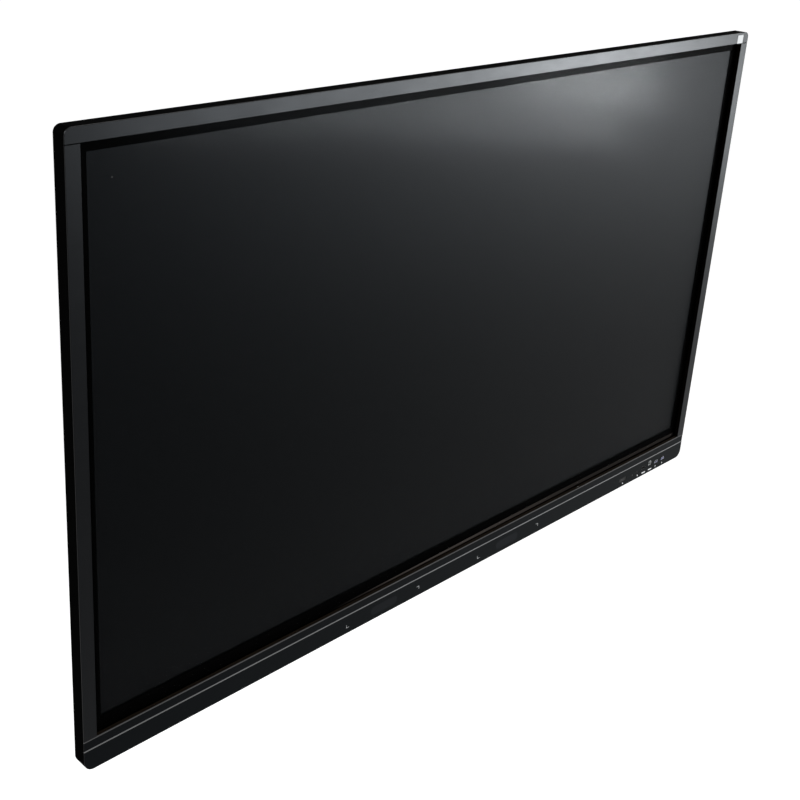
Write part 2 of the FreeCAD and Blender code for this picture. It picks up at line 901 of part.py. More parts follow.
def bead_runs():
    """Stiffening beads pressed into the plateau, each as (left, right, height of its middle)."""
    far = half_width - cover_slope_end - bead_margin
    near = hump_half_width + bead_margin
    low = handle_places_z[0] + handle_length / 2
    high = handle_places_z[1] - handle_length / 2
    pitch = (high - low) / (bead_count + 1)
    side_rows = [low + (index + 1) * pitch for index in range(bead_count)]
    end_rows = (cover_slope_end + bead_margin, height - cover_slope_end - bead_margin)
    runs = []
    for start, rows in ((near, side_rows), (bead_gap_at_middle, end_rows)):
        for z in rows:
            runs += [(-far, -start, z), (start, far, z)]
    return runs


def bead(x0, x1, z, inset):
    """One bead with sloped sides, or its inside when set in by the sheet thickness."""
    levels = []
    for slope, depth in ((0, plateau_depth - cut_through), (bead_slope, plateau_depth + bead_rise)):
        shrink = slope + inset
        half = bead_width / 2 - shrink
        levels.append(bevelled(x0 + shrink, x1 - shrink, z - half, z + half, depth - inset, 0, 0))
    return frustum(*levels)


def bay_boxes(grow):
    """The socket bay and the mains bay, grown by the sheet for the cover's inside."""
    beyond = 10 * cut_through
    sockets = box(
        socket_wall_x - grow, hump_half_width + beyond, bay_depth - grow, rear_depth + beyond,
        socket_bay_low - grow, socket_bay_top + grow,
    )
    mains = box(
        mains_bay_x - grow, mains_bay_x + mains_bay_width + grow, bay_depth - grow, rear_depth + beyond,
        hump_bottom - beyond, mains_wall_z + grow,
    )
    return [sockets, mains]


def vent_slots():
    """Slots in the hump's top slope, on the plateau above it and under the loudspeakers."""
    slots = []
    slope_front = plateau_depth + vent_margin
    slope_back = hump_inside - vent_margin
    top_middle = hump_top - hump_slope / 2
    upper_middle = hump_top + upper_vent_gap + vent_length / 2
    bottom_middle = hump_bottom + hump_slope / 2
    for index in range(vent_count):
        x = (index - (vent_count - 1) / 2) * vent_pitch
        slots.append(block(x, top_middle, vent_width, 2 * hump_slope, slope_front, slope_back))
        slots.append(block(
            x, upper_middle, vent_width, vent_length, cover_inside - cut_through, plateau_depth + cut_through,
        ))
    for side in (-1, 1):
        for index in range(grille_count):
            x = side * speaker_x + (index - (grille_count - 1) / 2) * grille_pitch
            slots.append(block(x, bottom_middle, vent_width, 2 * hump_slope, slope_front, slope_back))
    return slots


def socket_wall_holes():
    """Holes in the socket bay's wall, each as (rise, width, height) of what passes through."""
    holes = [(rise, audio_size[0], audio_size[1]) for rise in audio_rises]
    holes += [(rise, video_shell[0], video_shell[1]) for rise in video_rises]
    holes += [(rise, usb_a_shell[0], usb_a_shell[1]) for rise in usb_rises]
    holes += [(rise, network_size[0], network_size[1]) for rise in network_rises]
    holes.append((serial_rise, serial_size[0], serial_size[1]))
    return holes


def rear_cover():
    """Pressed cover: screw flange, sloped edge, plateau and hump with its bays, vents and holes."""
    outer = cut(cover_solid(0), bay_boxes(0))
    inner = cut(cover_solid(cover_sheet), bay_boxes(cover_sheet))
    flange = inset_slab(cover_edge, side_depth, side_depth + cover_sheet)
    rim = cover_slope_start + cover_sheet
    mouth = bevelled(
        -half_width + rim, half_width - rim, rim, height - rim,
        side_depth - cut_through, cover_bevel, cover_bevel,
    )
    mouth = Part.Face(mouth).extrude(V(0, cover_sheet + cut_through, 0))
    shell = cut(outer.fuse(flange), [mouth, inner])
    tools = vent_slots()
    post_hole_radius = mount_post_width / math.sqrt(3) + fit_gap
    for x in (-mount_x, mount_x):
        for z in (mount_low, mount_high):
            tools.append(peg(x, z, hump_inside - cut_through, rear_depth + cut_through, post_hole_radius))
    wall_front = socket_wall_x - cover_sheet - cut_through
    wall_back_x = socket_wall_x + cut_through
    for rise, wide, tall in socket_wall_holes():
        z = board_low + rise
        half = wide / 2 + port_gap
        tools.append(box(
            wall_front, wall_back_x, board_back - port_gap, board_back + tall + port_gap, z - half, z + half,
        ))
    tools.append(box(
        wall_front, wall_back_x, slot_front + slot_sheet, slot_back - slot_sheet,
        slot_low + slot_sheet, slot_top - slot_sheet,
    ))
    for x, (size_x, size_y) in ((inlet_x, inlet_body), (switch_x, switch_body)):
        tools.append(box(
            x - size_x / 2 - fit_gap, x + size_x / 2 + fit_gap,
            mains_depth - size_y / 2 - fit_gap, mains_depth + size_y / 2 + fit_gap,
            mains_wall_z - cut_through, mains_wall_z + cover_sheet + cut_through,
        ))
    parts["rear_cover"] = cut(shell, tools)


def cover_screws():
    """Screws that hold the rear cover's flange to the rails' lip."""
    face = side_depth + cover_sheet
    spots = []
    for share in cover_screws_level:
        spots.append((share * half_width, cover_screw_inset))
        spots.append((share * half_width, height - cover_screw_inset))
    for share in cover_screws_upright:
        spots.append((-half_width + cover_screw_inset, share * height))
        spots.append((half_width - cover_screw_inset, share * height))
    screws = [hex_post(x, z, face, face + cover_screw_height, cover_screw_head) for x, z in spots]
    parts["rear_cover_screws"] = Part.makeCompound(screws)


def carry_handles():
    """Four moulded grips on the plateau, each with a finger gap under its bar."""
    half = handle_length / 2
    inner_rise = handle_rise - handle_bar
    outer_points = [
        (-half, 0), (-half, handle_toe), (-half + handle_lean, handle_rise),
        (half - handle_lean, handle_rise), (half, handle_toe), (half, 0),
    ]
    foot = half - handle_foot
    inner_points = [
        (-foot, -cut_through), (-foot + handle_lean / 2, inner_rise),
        (foot - handle_lean / 2, inner_rise), (foot, -cut_through),
    ]
    handles = []
    for x in (-handle_x, handle_x):
        for z in handle_places_z:
            forms = []
            for points, rise, radius in (
                (outer_points, handle_rise, handle_outer_radius),
                (inner_points, inner_rise, handle_inner_radius),
            ):
                corners = [V(x - handle_width / 2, plateau_depth + y, z + along) for along, y in points]
                form = prism(corners, V(handle_width, 0, 0))
                level = plateau_depth + rise
                edges = [e for e in form.Edges if e.BoundBox.XLength > handle_width / 2 and
                         abs(e.BoundBox.YMax - level) < fit_gap]
                forms.append(form.makeFillet(radius, edges))
            handles.append(forms[0].cut(forms[1]))
    parts["carry_handles"] = Part.makeCompound(handles)


# Wall mount
def mount_rails():
    """Two upright steel channels on the chassis, with a welded threaded post near each end."""
    rails = []
    back = chassis_back + mount_rail_depth
    foot_back = chassis_back + mount_rail_sheet
    half = mount_rail_width / 2
    inner = half - mount_rail_sheet
    foot = half + mount_rail_flange
    for middle in (-mount_x, mount_x):
        section = [
            (-foot, chassis_back), (-inner, chassis_back), (-inner, back - mount_rail_sheet),
            (inner, back - mount_rail_sheet), (inner, chassis_back), (foot, chassis_back),
            (foot, foot_back), (half, foot_back), (half, back),
            (-half, back), (-half, foot_back), (-foot, foot_back),
        ]
        points = [(middle + across, depth) for across, depth in section]
        pieces = [along_z(points, mount_low - mount_rail_overrun, mount_high + mount_rail_overrun)]
        threads = []
        for z in (mount_low, mount_high):
            pieces.append(hex_post(middle, z, back - mount_rail_sheet, rear_depth, mount_post_width))
            thread_end = rear_depth - mount_thread_depth
            threads.append(peg(middle, z, thread_end, rear_depth + cut_through, mount_thread_radius))
        rails.append(cut(fuse(pieces), threads))
    parts["mount_rails"] = Part.makeCompound(rails)


# Loudspeakers
def level_frustum(x, y, near, far):
    """Tapered block along Z: near and far are (half width, half depth, height)."""
    wires = []
    for half_x, half_y, z in (near, far):
        corners = [
            V(x - half_x, y - half_y, z), V(x + half_x, y - half_y, z),
            V(x + half_x, y + half_y, z), V(x - half_x, y + half_y, z),
        ]
        wires.append(polygon(corners))
    return frustum(*wires)


def speaker_driver(x, y, seat):
    """Oblong driver: a flange on the box wall, a tapered basket with its cone, and a magnet."""
    flange_top = seat + driver_flange
    basket_top = seat + driver_basket
    magnet_top = basket_top + driver_magnet_height
    half_x = driver_half_width - driver_rim
    half_y = driver_half_depth - driver_rim
    magnet = driver_magnet_half
    flange = box(
        x - driver_half_width, x + driver_half_width, y - driver_half_depth, y + driver_half_depth,
        seat, flange_top,
    )
    basket = level_frustum(x, y, (half_x, half_y, flange_top), (magnet, magnet, basket_top))
    back = box(x - magnet, x + magnet, y - magnet, y + magnet, basket_top, magnet_top)
    cone = level_frustum(
        x, y, (half_x - driver_rim, half_y - driver_rim, seat),
        (magnet / 2, magnet / 2, seat + driver_cone_depth),
    )
    return fuse([flange, basket, back]).cut(cone)


def speakers():
    """Two sealed boxes at the bottom of the hump, each with a driver that faces down."""
    low = hump_bottom + hump_slope + vent_width
    front = chassis_back + speaker_lift
    back = front + speaker_depth
    middle = (front + back) / 2
    wall = speaker_wall
    boxes = []
    drivers = []
    for x in (-speaker_x, speaker_x):
        left = x - speaker_width / 2
        right = x + speaker_width / 2
        shell = box(left, right, front, back, low, low + speaker_height)
        foot_low = low + speaker_foot_rise
        foot = box(left, right, chassis_back, front, foot_low, foot_low + speaker_foot_height)
        hollow = box(
            left + wall, right - wall, front + wall, back - wall, low + wall, low + speaker_height - wall,
        )
        mouth_x = driver_half_width - driver_rim
        mouth_y = driver_half_depth - driver_rim
        mouth = box(
            x - mouth_x, x + mouth_x, middle - mouth_y, middle + mouth_y,
            low - cut_through, low + wall + cut_through,
        )
        boxes.append(cut(fuse([shell, foot]), [hollow, mouth]))
        drivers.append(speaker_driver(x, middle, low + wall))
    parts["speaker_boxes"] = Part.makeCompound(boxes)
    parts["speaker_drivers"] = Part.makeCompound(drivers)


# Boards in the hump
def board_plate(area):
    left, right, low, high = area
    return box(left, right, board_front, board_back, low, high)


def main_board():
    """Main board with its memory chips, and the finned heat sink on its processor."""
    left = main_board_area[0]
    low = main_board_area[2]
    pieces = [board_plate(main_board_area)]
    for index in range(chip_count):
        x = left + chip_inset + index * chip_pitch
        pieces.append(block(x, low + chip_inset, chip_size, chip_size, board_back, board_back + chip_height))
    parts["main_board"] = fuse(pieces)

    x = left + heat_sink_inset
    z = low + heat_sink_inset
    base_top = board_back + heat_sink_base
    fins = [box(x, x + heat_sink_size, board_back, base_top, z, z + heat_sink_size)]
    pitch = (heat_sink_size - heat_sink_fin) / (heat_sink_fins - 1)
    for index in range(heat_sink_fins):
        fin_x = x + index * pitch
        fin_top = board_back + heat_sink_height
        fins.append(box(fin_x, fin_x + heat_sink_fin, base_top, fin_top, z, z + heat_sink_size))
    parts["cpu_heatsink"] = fuse(fins)


def power_supply_board():
    """Power supply with its transformers, storage capacitor and upright cooling plate."""
    left, right, low, high = power_board_area
    middle = (left + right) / 2
    column = (low + high) / 2
    pieces = [board_plate(power_board_area)]
    for index in range(transformer_count):
        z = column + (index - (transformer_count - 1) / 2) * transformer_pitch
        pieces.append(block(
            middle, z, transformer_size, transformer_size, board_back, board_back + transformer_height,
        ))
    capacitor_x = middle + 2 * transformer_size
    pieces.append(peg(capacitor_x, column, board_back, board_back + capacitor_height, capacitor_radius))
    plate_x = left + cooling_plate_inset
    pieces.append(box(
        plate_x, plate_x + cooling_plate_thickness, board_back, board_back + cooling_plate_height,
        low + 2 * cooling_plate_inset, high - 2 * cooling_plate_inset,
    ))
    parts["power_supply_board"] = fuse(pieces)


def timing_board():
    """Timing board with the two ribbon sockets that feed the display panel."""
    left, right, low, high = timing_board_area
    pieces = [board_plate(timing_board_area)]
    for share in (0.25, 0.75):
        x = left + share * timing_board_width
        z = low + 2 * ribbon_socket_width
        pieces.append(block(
            x, z, ribbon_socket_length, ribbon_socket_width, board_back, board_back + ribbon_socket_height,
        ))
    parts["timing_board"] = fuse(pieces)


def board_standoffs():
    """Hexagonal posts under the corners of the three boards."""
    posts = []
    for left, right, low, high in (main_board_area, power_board_area, timing_board_area):
        for x in (left + standoff_inset, right - standoff_inset):
            for z in (low + standoff_inset, high - standoff_inset):
                posts.append(hex_post(x, z, chassis_back, board_front, standoff_width))
    parts["board_standoffs"] = Part.makeCompound(posts)


# Plug-in computer slot
def plug_in_slot():
    """Cage for a plug-in computer, closed by a blind plate with a pull tab and two thumb screws."""
    right = socket_wall_x - cover_sheet
    left = right - slot_length
    sheet = slot_sheet
    cage = box(left, right, slot_front, slot_back, slot_low, slot_top)
    hollow = box(
        left + sheet, right + cut_through, slot_front + sheet, slot_back - sheet,
        slot_low + sheet, slot_top - sheet,
    )
    legs = []
    for x in (left + slot_leg_inset, right - slot_leg_setback):
        for z in (slot_low + slot_leg_inset, slot_top - slot_leg_inset):
            legs.append(hex_post(x, z, chassis_back, slot_front, standoff_width))
    parts["ops_cage"] = fuse([cage.cut(hollow)] + legs)

    face = socket_wall_x + cover_sheet
    middle_y = (slot_front + slot_back) / 2
    middle_z = (slot_low + slot_top) / 2
    plate = box(
        socket_wall_x, face, slot_front - fit_gap, slot_back + fit_gap,
        slot_low - slot_lip, slot_top + slot_lip,
    )
    tab_y = slot_front + slot_tab_inset
    tab = box(
        face, face + slot_tab_rise, tab_y, tab_y + slot_tab_thickness,
        middle_z - slot_tab_length / 2, middle_z + slot_tab_length / 2,
    )
    parts["ops_cover_plate"] = fuse([plate, tab])
    screws = []
    for z in (slot_low + thumb_screw_width, slot_top - thumb_screw_width):
        screws.append(regular_prism(
            V(face, middle_y, z), V(0, 1, 0), V(0, 0, 1), thumb_screw_width, thumb_screw_sides,
            V(thumb_screw_height, 0, 0),
        ))
    parts["ops_thumb_screws"] = Part.makeCompound(screws)


# Rear sockets on the main board's edge
def network_socket():
    """Network jack: a square mouth with the latch key above it."""
    wide, tall = network_size
    length = rear_socket_length
    body = block(0, 0, wide, tall, 0, length)
    floor = -tall / 2 + network_wall
    mouth = box(
        -wide / 2 + network_wall, wide / 2 - network_wall, -cut_through, length - shell_back,
        floor, floor + network_mouth,
    )
    key_top = floor + network_mouth + network_key_height
    key = box(-network_key / 2, network_key / 2, -cut_through, length - shell_back, floor, key_top)
    return body.cut(fuse([mouth, key]))


def serial_socket():
    """Serial socket: a flanged block with a D-shaped shell that stands out of it."""
    wide, tall = serial_size
    body = block(0, 0, wide, tall, 0, rear_socket_length)
    shell = socket_face(serial_shell, -serial_proud, 0).extrude(V(0, serial_proud + cut_through, 0))
    hollow = socket_face(serial_shell, -serial_proud - cut_through, -shell_sheet)
    hollow = hollow.extrude(V(0, serial_mouth + cut_through, 0))
    return fuse([body, shell]).cut(hollow)


def audio_jack():
    wide, tall = audio_size
    body = block(0, 0, wide, tall, 0, rear_socket_length)
    return body.cut(peg(0, 0, -cut_through, audio_bore_depth, audio_bore_radius))


def rear_sockets():
    """Every socket in the socket bay, at its height above the main board's lower edge."""
    length = rear_socket_length
    for node, shell, tongue, rises in (
        ("rear_hdmi_sockets", video_shell, video_tongue, video_rises),
        ("rear_usb_sockets", usb_a_shell, usb_a_tongue, usb_rises),
    ):
        forms = []
        for rise in rises:
            forms.append(at_rear(socket_shell(shell, length), rise, shell[1]))
            forms.append(at_rear(socket_tongue(tongue, length), rise, shell[1]))
        parts[node] = Part.makeCompound(forms)
    jacks = [at_rear(network_socket(), rise, network_size[1]) for rise in network_rises]
    parts["rear_lan_sockets"] = Part.makeCompound(jacks)
    parts["rear_serial_socket"] = at_rear(serial_socket(), serial_rise, serial_size[1])
    jacks = [at_rear(audio_jack(), rise, audio_size[1]) for rise in audio_rises]
    parts["rear_audio_jacks"] = Part.makeCompound(jacks)


# Mains inlet and rocker switch in the lower bay
def mains_body(x, size, flange, length):
    """Flange under the bay wall and body above it, for the inlet and the switch alike."""
    half_x = size[0] / 2
    half_y = size[1] / 2
    plate = box(
        x - half_x - flange, x + half_x + flange,
        mains_depth - half_y - flange, mains_depth + half_y + flange,
        mains_mouth_z, mains_wall_z,
    )
    body = box(
        x - half_x, x + half_x, mains_depth - half_y, mains_depth + half_y,
        mains_mouth_z, mains_mouth_z + length,
    )
    return fuse([plate, body])


def mains_inlet():
    """Recessed three-pin appliance inlet, with the bevelled corners of its connector."""
    half_x = inlet_body[0] / 2 - inlet_wall
    near = mains_depth - inlet_body[1] / 2 + inlet_wall
    far = mains_depth + inlet_body[1] / 2 - inlet_wall
    points = [
        (-half_x, far), (-half_x, near + inlet_bevel), (-half_x + inlet_bevel, near),
        (half_x - inlet_bevel, near), (half_x, near + inlet_bevel), (half_x, far),
    ]
    hollow = along_z(
        [(inlet_x + x, y) for x, y in points],
        mains_mouth_z - cut_through, mains_mouth_z + inlet_length - inlet_floor,
    )
    pins = []
    wide, deep = inlet_pin
    for across, offset in ((-1, 1), (1, 1), (0, -1)):
        x = inlet_x + across * inlet_pin_spacing
        y = mains_depth + offset * inlet_pin_offset
        pins.append(box(
            x - wide / 2, x + wide / 2, y - deep / 2, y + deep / 2,
            mains_mouth_z + inlet_pin_setback, mains_mouth_z + inlet_length - inlet_floor / 2,
        ))
    body = mains_body(inlet_x, inlet_body, inlet_flange, inlet_length)
    parts["ac_inlet"] = fuse([body.cut(hollow)] + pins)


def mains_switch():
    """Rocker switch: the rocker turns on two pins in its housing."""
    half_x = switch_body[0] / 2 - switch_wall
    half_y = switch_body[1] / 2 - switch_wall
    pivot_z = mains_mouth_z + rocker_pivot
    hollow = box(
        switch_x - half_x, switch_x + half_x, mains_depth - half_y, mains_depth + half_y,
        mains_mouth_z - cut_through, mains_mouth_z + switch_length - switch_floor,
    )
    bore_half = switch_body[1] / 2 + cut_through
    bore_end = V(switch_x, mains_depth - bore_half, pivot_z)
    bore = Part.makeCylinder(rocker_pin_radius + running_gap, 2 * bore_half, bore_end, V(0, 1, 0))
    body = mains_body(switch_x, switch_body, switch_flange, switch_length)
    parts["ac_switch_housing"] = body.cut(fuse([hollow, bore]))

    tip = math.sqrt((half_x - rocker_tip_gap) ** 2 - rocker_face ** 2)
    half_y -= fit_gap
    points = [
        (-tip, -rocker_edge), (-tip, -rocker_face), (0, -rocker_valley), (tip, -rocker_face),
        (tip, -rocker_edge), (rocker_back_half, rocker_back), (-rocker_back_half, rocker_back),
    ]
    corners = [V(switch_x + x, mains_depth - half_y, pivot_z + z) for x, z in points]
    paddle = prism(corners, V(0, 2 * half_y, 0))
    pin_half = switch_body[1] / 2 - fit_gap
    pin = Part.makeCylinder(
        rocker_pin_radius, 2 * pin_half, V(switch_x, mains_depth - pin_half, pivot_z), V(0, 1, 0),
    )
    rocker = fuse([paddle, pin])
    rocker.rotate(V(switch_x, mains_depth, pivot_z), V(0, 1, 0), rocker_tilt)
    parts["ac_rocker"] = rocker


# Front ports
def front_ports():
    """The sockets behind the lower panel and the board that carries them."""
    shells = [at_front(socket_shell(shell, port_length), x, z) for shell, x, z in usb_a_places]
    tongues = [at_front(socket_tongue(usb_a_tongue, port_length), x, z) for shell, x, z in usb_a_places]
    parts["usb_a_shells"] = Part.makeCompound(shells)
    parts["usb_a_tongues"] = Part.makeCompound(tongues)
    for node, place, tongue in (
        ("usb_b_socket", usb_b_place, usb_b_tongue),
        ("hdmi_socket", video_place, video_tongue),
        ("usb_c_socket", usb_c_place, usb_c_tongue),
    ):
        shell, x, z = place
        forms = [socket_shell(shell, port_length), socket_tongue(tongue, port_length)]
        parts[node] = Part.makeCompound([at_front(form, x, z) for form in forms])
    parts["front_io_board"] = box(
        half_width - panel_posts_from_edge[0] - port_board_margin,
        half_width - panel_posts_from_edge[-1] + port_board_margin,
        port_board_depth, port_board_depth + pcb_thickness,
        rail_wall + corner_key_width + fit_gap, panel_height - port_board_drop,
    )


# Power button, its switch, the sensor window and the pen magnets
def button_slab(grow, y0, y1):
    """Rounded slab of the button's cap, or of its hole when grown by a clearance."""
    half_x = button_width / 2 + grow
    half_z = button_height / 2 + grow
    radius = button_corner + grow
    return slab(
        button_x - half_x, button_x + half_x, button_z - half_z, button_z + half_z, y0, y1, radius, radius,
    )


def power_button():
    """Push button with a retaining lip and a plunger that reaches into its switch."""
    cap_back = panel_back + fit_gap
    switch_front = port_board_depth - switch_height
    plunger_end = switch_front + plunger_overlap
    lip_width = button_width + 2 * button_lip
    lip_height = button_height + 2 * button_lip
    cap = button_slab(0, button_recess, cap_back)
    lip = block(button_x, button_z, lip_width, lip_height, cap_back, cap_back + button_cap)
    plunger = peg(button_x, button_z, cap_back, plunger_end, plunger_radius)
    parts["power_button"] = fuse([cap, lip, plunger])

    body = block(button_x, button_z, switch_width, switch_width, switch_front, port_board_depth)
    bore_end = plunger_end + button_travel + fit_gap
    bore = peg(button_x, button_z, switch_front - cut_through, bore_end, plunger_radius + running_gap)
    parts["button_switch"] = body.cut(bore)


def sensor_window():
    """Small lens in the panel for the remote-control and light sensors."""
    lens = block(sensor_x, sensor_z, sensor_width, sensor_height, sensor_recess, panel_back)
    base_width = sensor_width + 2 * sensor_base_lip
    base_height = sensor_height + 2 * sensor_base_lip
    base = block(sensor_x, sensor_z, base_width, base_height, panel_back, port_board_depth)
    parts["sensor_window"] = fuse([lens, base])


def pen_magnets():
    magnet_back = panel_back + pen_magnet_thickness
    magnets = []
    for x in (-pen_zone_x, pen_zone_x):
        magnets.append(block(x, pen_zone_z, pen_zone_width, pen_zone_height, panel_back, magnet_back))
    parts["pen_magnets"] = Part.makeCompound(magnets)


def build():
    bezel_strips()
    frame_rails()
    corner_keys()
    lower_front_panel()
    trims_and_ledge()
    touch_frame()
    glass_and_seal()
    display_module()
    module_brackets()
    rear_cover()
    cover_screws()
    carry_handles()
    mount_rails()
    speakers()
    main_board()
    power_supply_board()
    timing_board()
    board_standoffs()
    plug_in_slot()
    rear_sockets()
    mains_inlet()
    mains_switch()
    front_ports()
    power_button()
    sensor_window()
    pen_magnets()


build()
os.makedirs("parts", exist_ok=True)
for name, shape in parts.items():
    moved = shape.copy()
    moved.translate(V(0, -rear_depth, -mount_height))
    if not moved.isValid():
        raise ValueError(name + " is not a valid shape")
    moved.exportStep("parts/" + name + ".step")
    print(name, len(moved.Solids), "solids", round(moved.Volume / 1000.0, 1), "cm3")
print(len(parts), "nodes")
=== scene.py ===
"""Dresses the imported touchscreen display: materials, small printed and metal details, studio and camera."""

import math

import bmesh
import bpy
from mathutils import Matrix, Vector

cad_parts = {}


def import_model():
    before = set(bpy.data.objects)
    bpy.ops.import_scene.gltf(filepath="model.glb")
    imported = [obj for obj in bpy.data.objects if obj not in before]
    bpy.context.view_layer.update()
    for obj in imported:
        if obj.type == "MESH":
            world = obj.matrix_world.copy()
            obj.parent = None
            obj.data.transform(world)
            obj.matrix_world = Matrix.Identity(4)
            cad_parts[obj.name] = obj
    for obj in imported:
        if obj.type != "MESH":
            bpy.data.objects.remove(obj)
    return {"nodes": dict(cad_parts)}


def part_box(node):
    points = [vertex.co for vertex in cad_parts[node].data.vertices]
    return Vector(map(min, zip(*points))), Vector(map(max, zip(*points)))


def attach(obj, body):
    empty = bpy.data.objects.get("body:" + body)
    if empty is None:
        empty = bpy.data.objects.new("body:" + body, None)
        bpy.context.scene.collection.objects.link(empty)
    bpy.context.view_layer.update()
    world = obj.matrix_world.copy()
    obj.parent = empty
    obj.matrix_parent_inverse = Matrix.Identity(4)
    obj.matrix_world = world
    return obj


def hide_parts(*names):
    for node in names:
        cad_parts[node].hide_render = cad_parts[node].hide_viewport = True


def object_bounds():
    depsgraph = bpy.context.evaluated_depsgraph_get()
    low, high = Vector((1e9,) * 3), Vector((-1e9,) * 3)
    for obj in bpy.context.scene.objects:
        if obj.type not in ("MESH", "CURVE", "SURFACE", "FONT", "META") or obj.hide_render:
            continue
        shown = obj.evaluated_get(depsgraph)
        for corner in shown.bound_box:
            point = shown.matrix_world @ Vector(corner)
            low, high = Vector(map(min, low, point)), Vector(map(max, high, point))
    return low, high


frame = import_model()
CAD_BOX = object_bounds()

MM = 0.001
BODY = "display"

# Camera: place, axes and lens, at the angle of the photograph
CAMERA_PLACE = (-1.71405, -1.48569, 0.94458)
CAMERA_RIGHT = (0.72267, -0.68932, 0.0508)
CAMERA_UP = (0.21684, 0.29588, 0.93029)
CAMERA_BACK = (-0.6563, -0.66127, 0.3633)
CAMERA_LENS = 56.375
CAMERA_SHIFT = (0.062375, -0.115)
SENSOR_WIDTH = 36.0
CLIP_RANGE = (0.05, 100.0)

# Studio sheet and world
FLOOR_DROP = 1.30
STAGE_HALF = 14.0
BACKDROP_Y = 7.0
COVE_RADIUS = 2.5
COVE_STEPS = 12
BACKDROP_HEIGHT = 9.0
PAPER_TONE = 0.55
PAPER_SPREAD = 0.01
STAGE_LIFT = 0.86
WORLD_LIGHT = 0.35

# Lamps: name, place, size and radiance. They share one spread and one tint, and face the origin
LAMP_HALF_SPREAD = math.radians(40)
LAMP_TINT = (0.945, 0.98, 1.0)
LAMPS = (
    ("key_softbox", (3.296, -2.214, 0.045), (0.719, 0.648), 84.0),
    ("strip_softbox", (2.602, -2.944, -0.312), (2.487, 0.367), 66.0),
    ("rear_softbox", (-2.8, 3.2, 2.2), (1.8, 1.4), 22.0),
)

# Half the thickness of a print, which stands this far out of the face that carries it
INK = 0.03 * MM

# Most of a noise texture's values lie between these two
NOISE_SPAN = (0.3, 0.7)
ROUGHNESS_SPREAD = 0.04

# Tints of the gloss: the front's paints and films reflect a little more blue than red
WHITE = (1, 1, 1)
COOL = (0.88, 0.93, 1.0)
COOLER = (0.78, 0.88, 1.0)

# Stretches of the grain on brushed metal, along x and along y
ALONG_X = (0.02, 1, 1)
ALONG_Y = (1, 0.05, 1)


def node(name):
    return frame["nodes"][name]


def grey(tone):
    return (tone,) * 3


# Materials


class Shade:
    """A node material with one Principled shader and short calls for the nodes that drive it."""

    def __init__(self, name):
        self.material = bpy.data.materials.new(name)
        self.material.use_nodes = True
        self.tree = self.material.node_tree
        self.shader = self.tree.nodes["Principled BSDF"]
        self.output = self.tree.nodes["Material Output"]
        self.place = self.add("ShaderNodeTexCoord").outputs["Object"]

    def add(self, kind, **settings):
        made = self.tree.nodes.new(kind)
        for key, value in settings.items():
            setattr(made, key, value)
        return made

    def link(self, source, target):
        self.tree.links.new(source, target)

    def plain(self, **values):
        for key, value in values.items():
            self.shader.inputs[key.replace("_", " ")].default_value = value
        return self

    def scaled(self, scale):
        made = self.add("ShaderNodeMapping")
        made.inputs["Scale"].default_value = scale
        self.link(self.place, made.inputs["Vector"])
        return made.outputs["Vector"]

    def noise(self, scale, detail=3.0, stretch=None):
        made = self.add("ShaderNodeTexNoise")
        made.inputs["Scale"].default_value = scale
        made.inputs["Detail"].default_value = detail
        self.link(self.scaled(stretch) if stretch else self.place, made.inputs["Vector"])
        return made.outputs["Fac"]

    def cells(self, scale):
        made = self.add("ShaderNodeTexVoronoi")
        made.inputs["Scale"].default_value = scale
        self.link(self.place, made.inputs["Vector"])
        return made.outputs["Distance"]

    def ranged(self, source, low, high, new_low, new_high):
        made = self.add("ShaderNodeMapRange")
        for key, value in (("From Min", low), ("From Max", high), ("To Min", new_low), ("To Max", new_high)):
            made.inputs[key].default_value = value
        self.link(source, made.inputs["Value"])
        return made.outputs["Result"]

    def blend(self, factor, first, second):
        made = self.add("ShaderNodeMix", data_type="RGBA")
        self.link(factor, made.inputs["Factor"])
        made.inputs[6].default_value = (*first, 1)
        made.inputs[7].default_value = (*second, 1)
        return made.outputs[2]

    def colour(self, source):
        self.link(source, self.shader.inputs["Base Color"])
        return self

    def mottled(self, noise, first, second):
        """Colours the surface between two tones by a noise."""
        return self.colour(self.blend(self.ranged(noise, *NOISE_SPAN, 0, 1), first, second))

    def roughness(self, source):
        self.link(source, self.shader.inputs["Roughness"])
        return self

    def uneven(self, noise, low, high):
        """Lets the roughness wander between two values by a noise."""
        return self.roughness(self.ranged(noise, *NOISE_SPAN, low, high))

    def bump(self, source, height):
        made = self.add("ShaderNodeBump")
        made.inputs["Strength"].default_value = 1.0
        made.inputs["Distance"].default_value = height
        self.link(source, made.inputs["Height"])
        self.link(made.outputs["Normal"], self.shader.inputs["Normal"])
        return self


def grained(name, dark, light, rough, grain, height, ior, metal=0.0, stretch=None, tint=WHITE):
    """A finish with fine grain: colour between two tones, roughness that wanders, and bump at the grain's size.

    Grain and height are in millimetres. A height of 0 leaves the bump out, for a polished surface that is seen
    close to a mirror's angle."""
    shade = Shade(name)
    fine = shade.noise(1 / (grain * MM), 4.0, stretch)
    broad = shade.noise(9.0)
    shade.mottled(fine, dark, light)
    shade.uneven(broad, rough - ROUGHNESS_SPREAD, rough + ROUGHNESS_SPREAD)
    if height > 0:
        shade.bump(fine, height * MM)
    return shade.plain(IOR=ior, Metallic=metal, Specular_Tint=(*tint, 1))


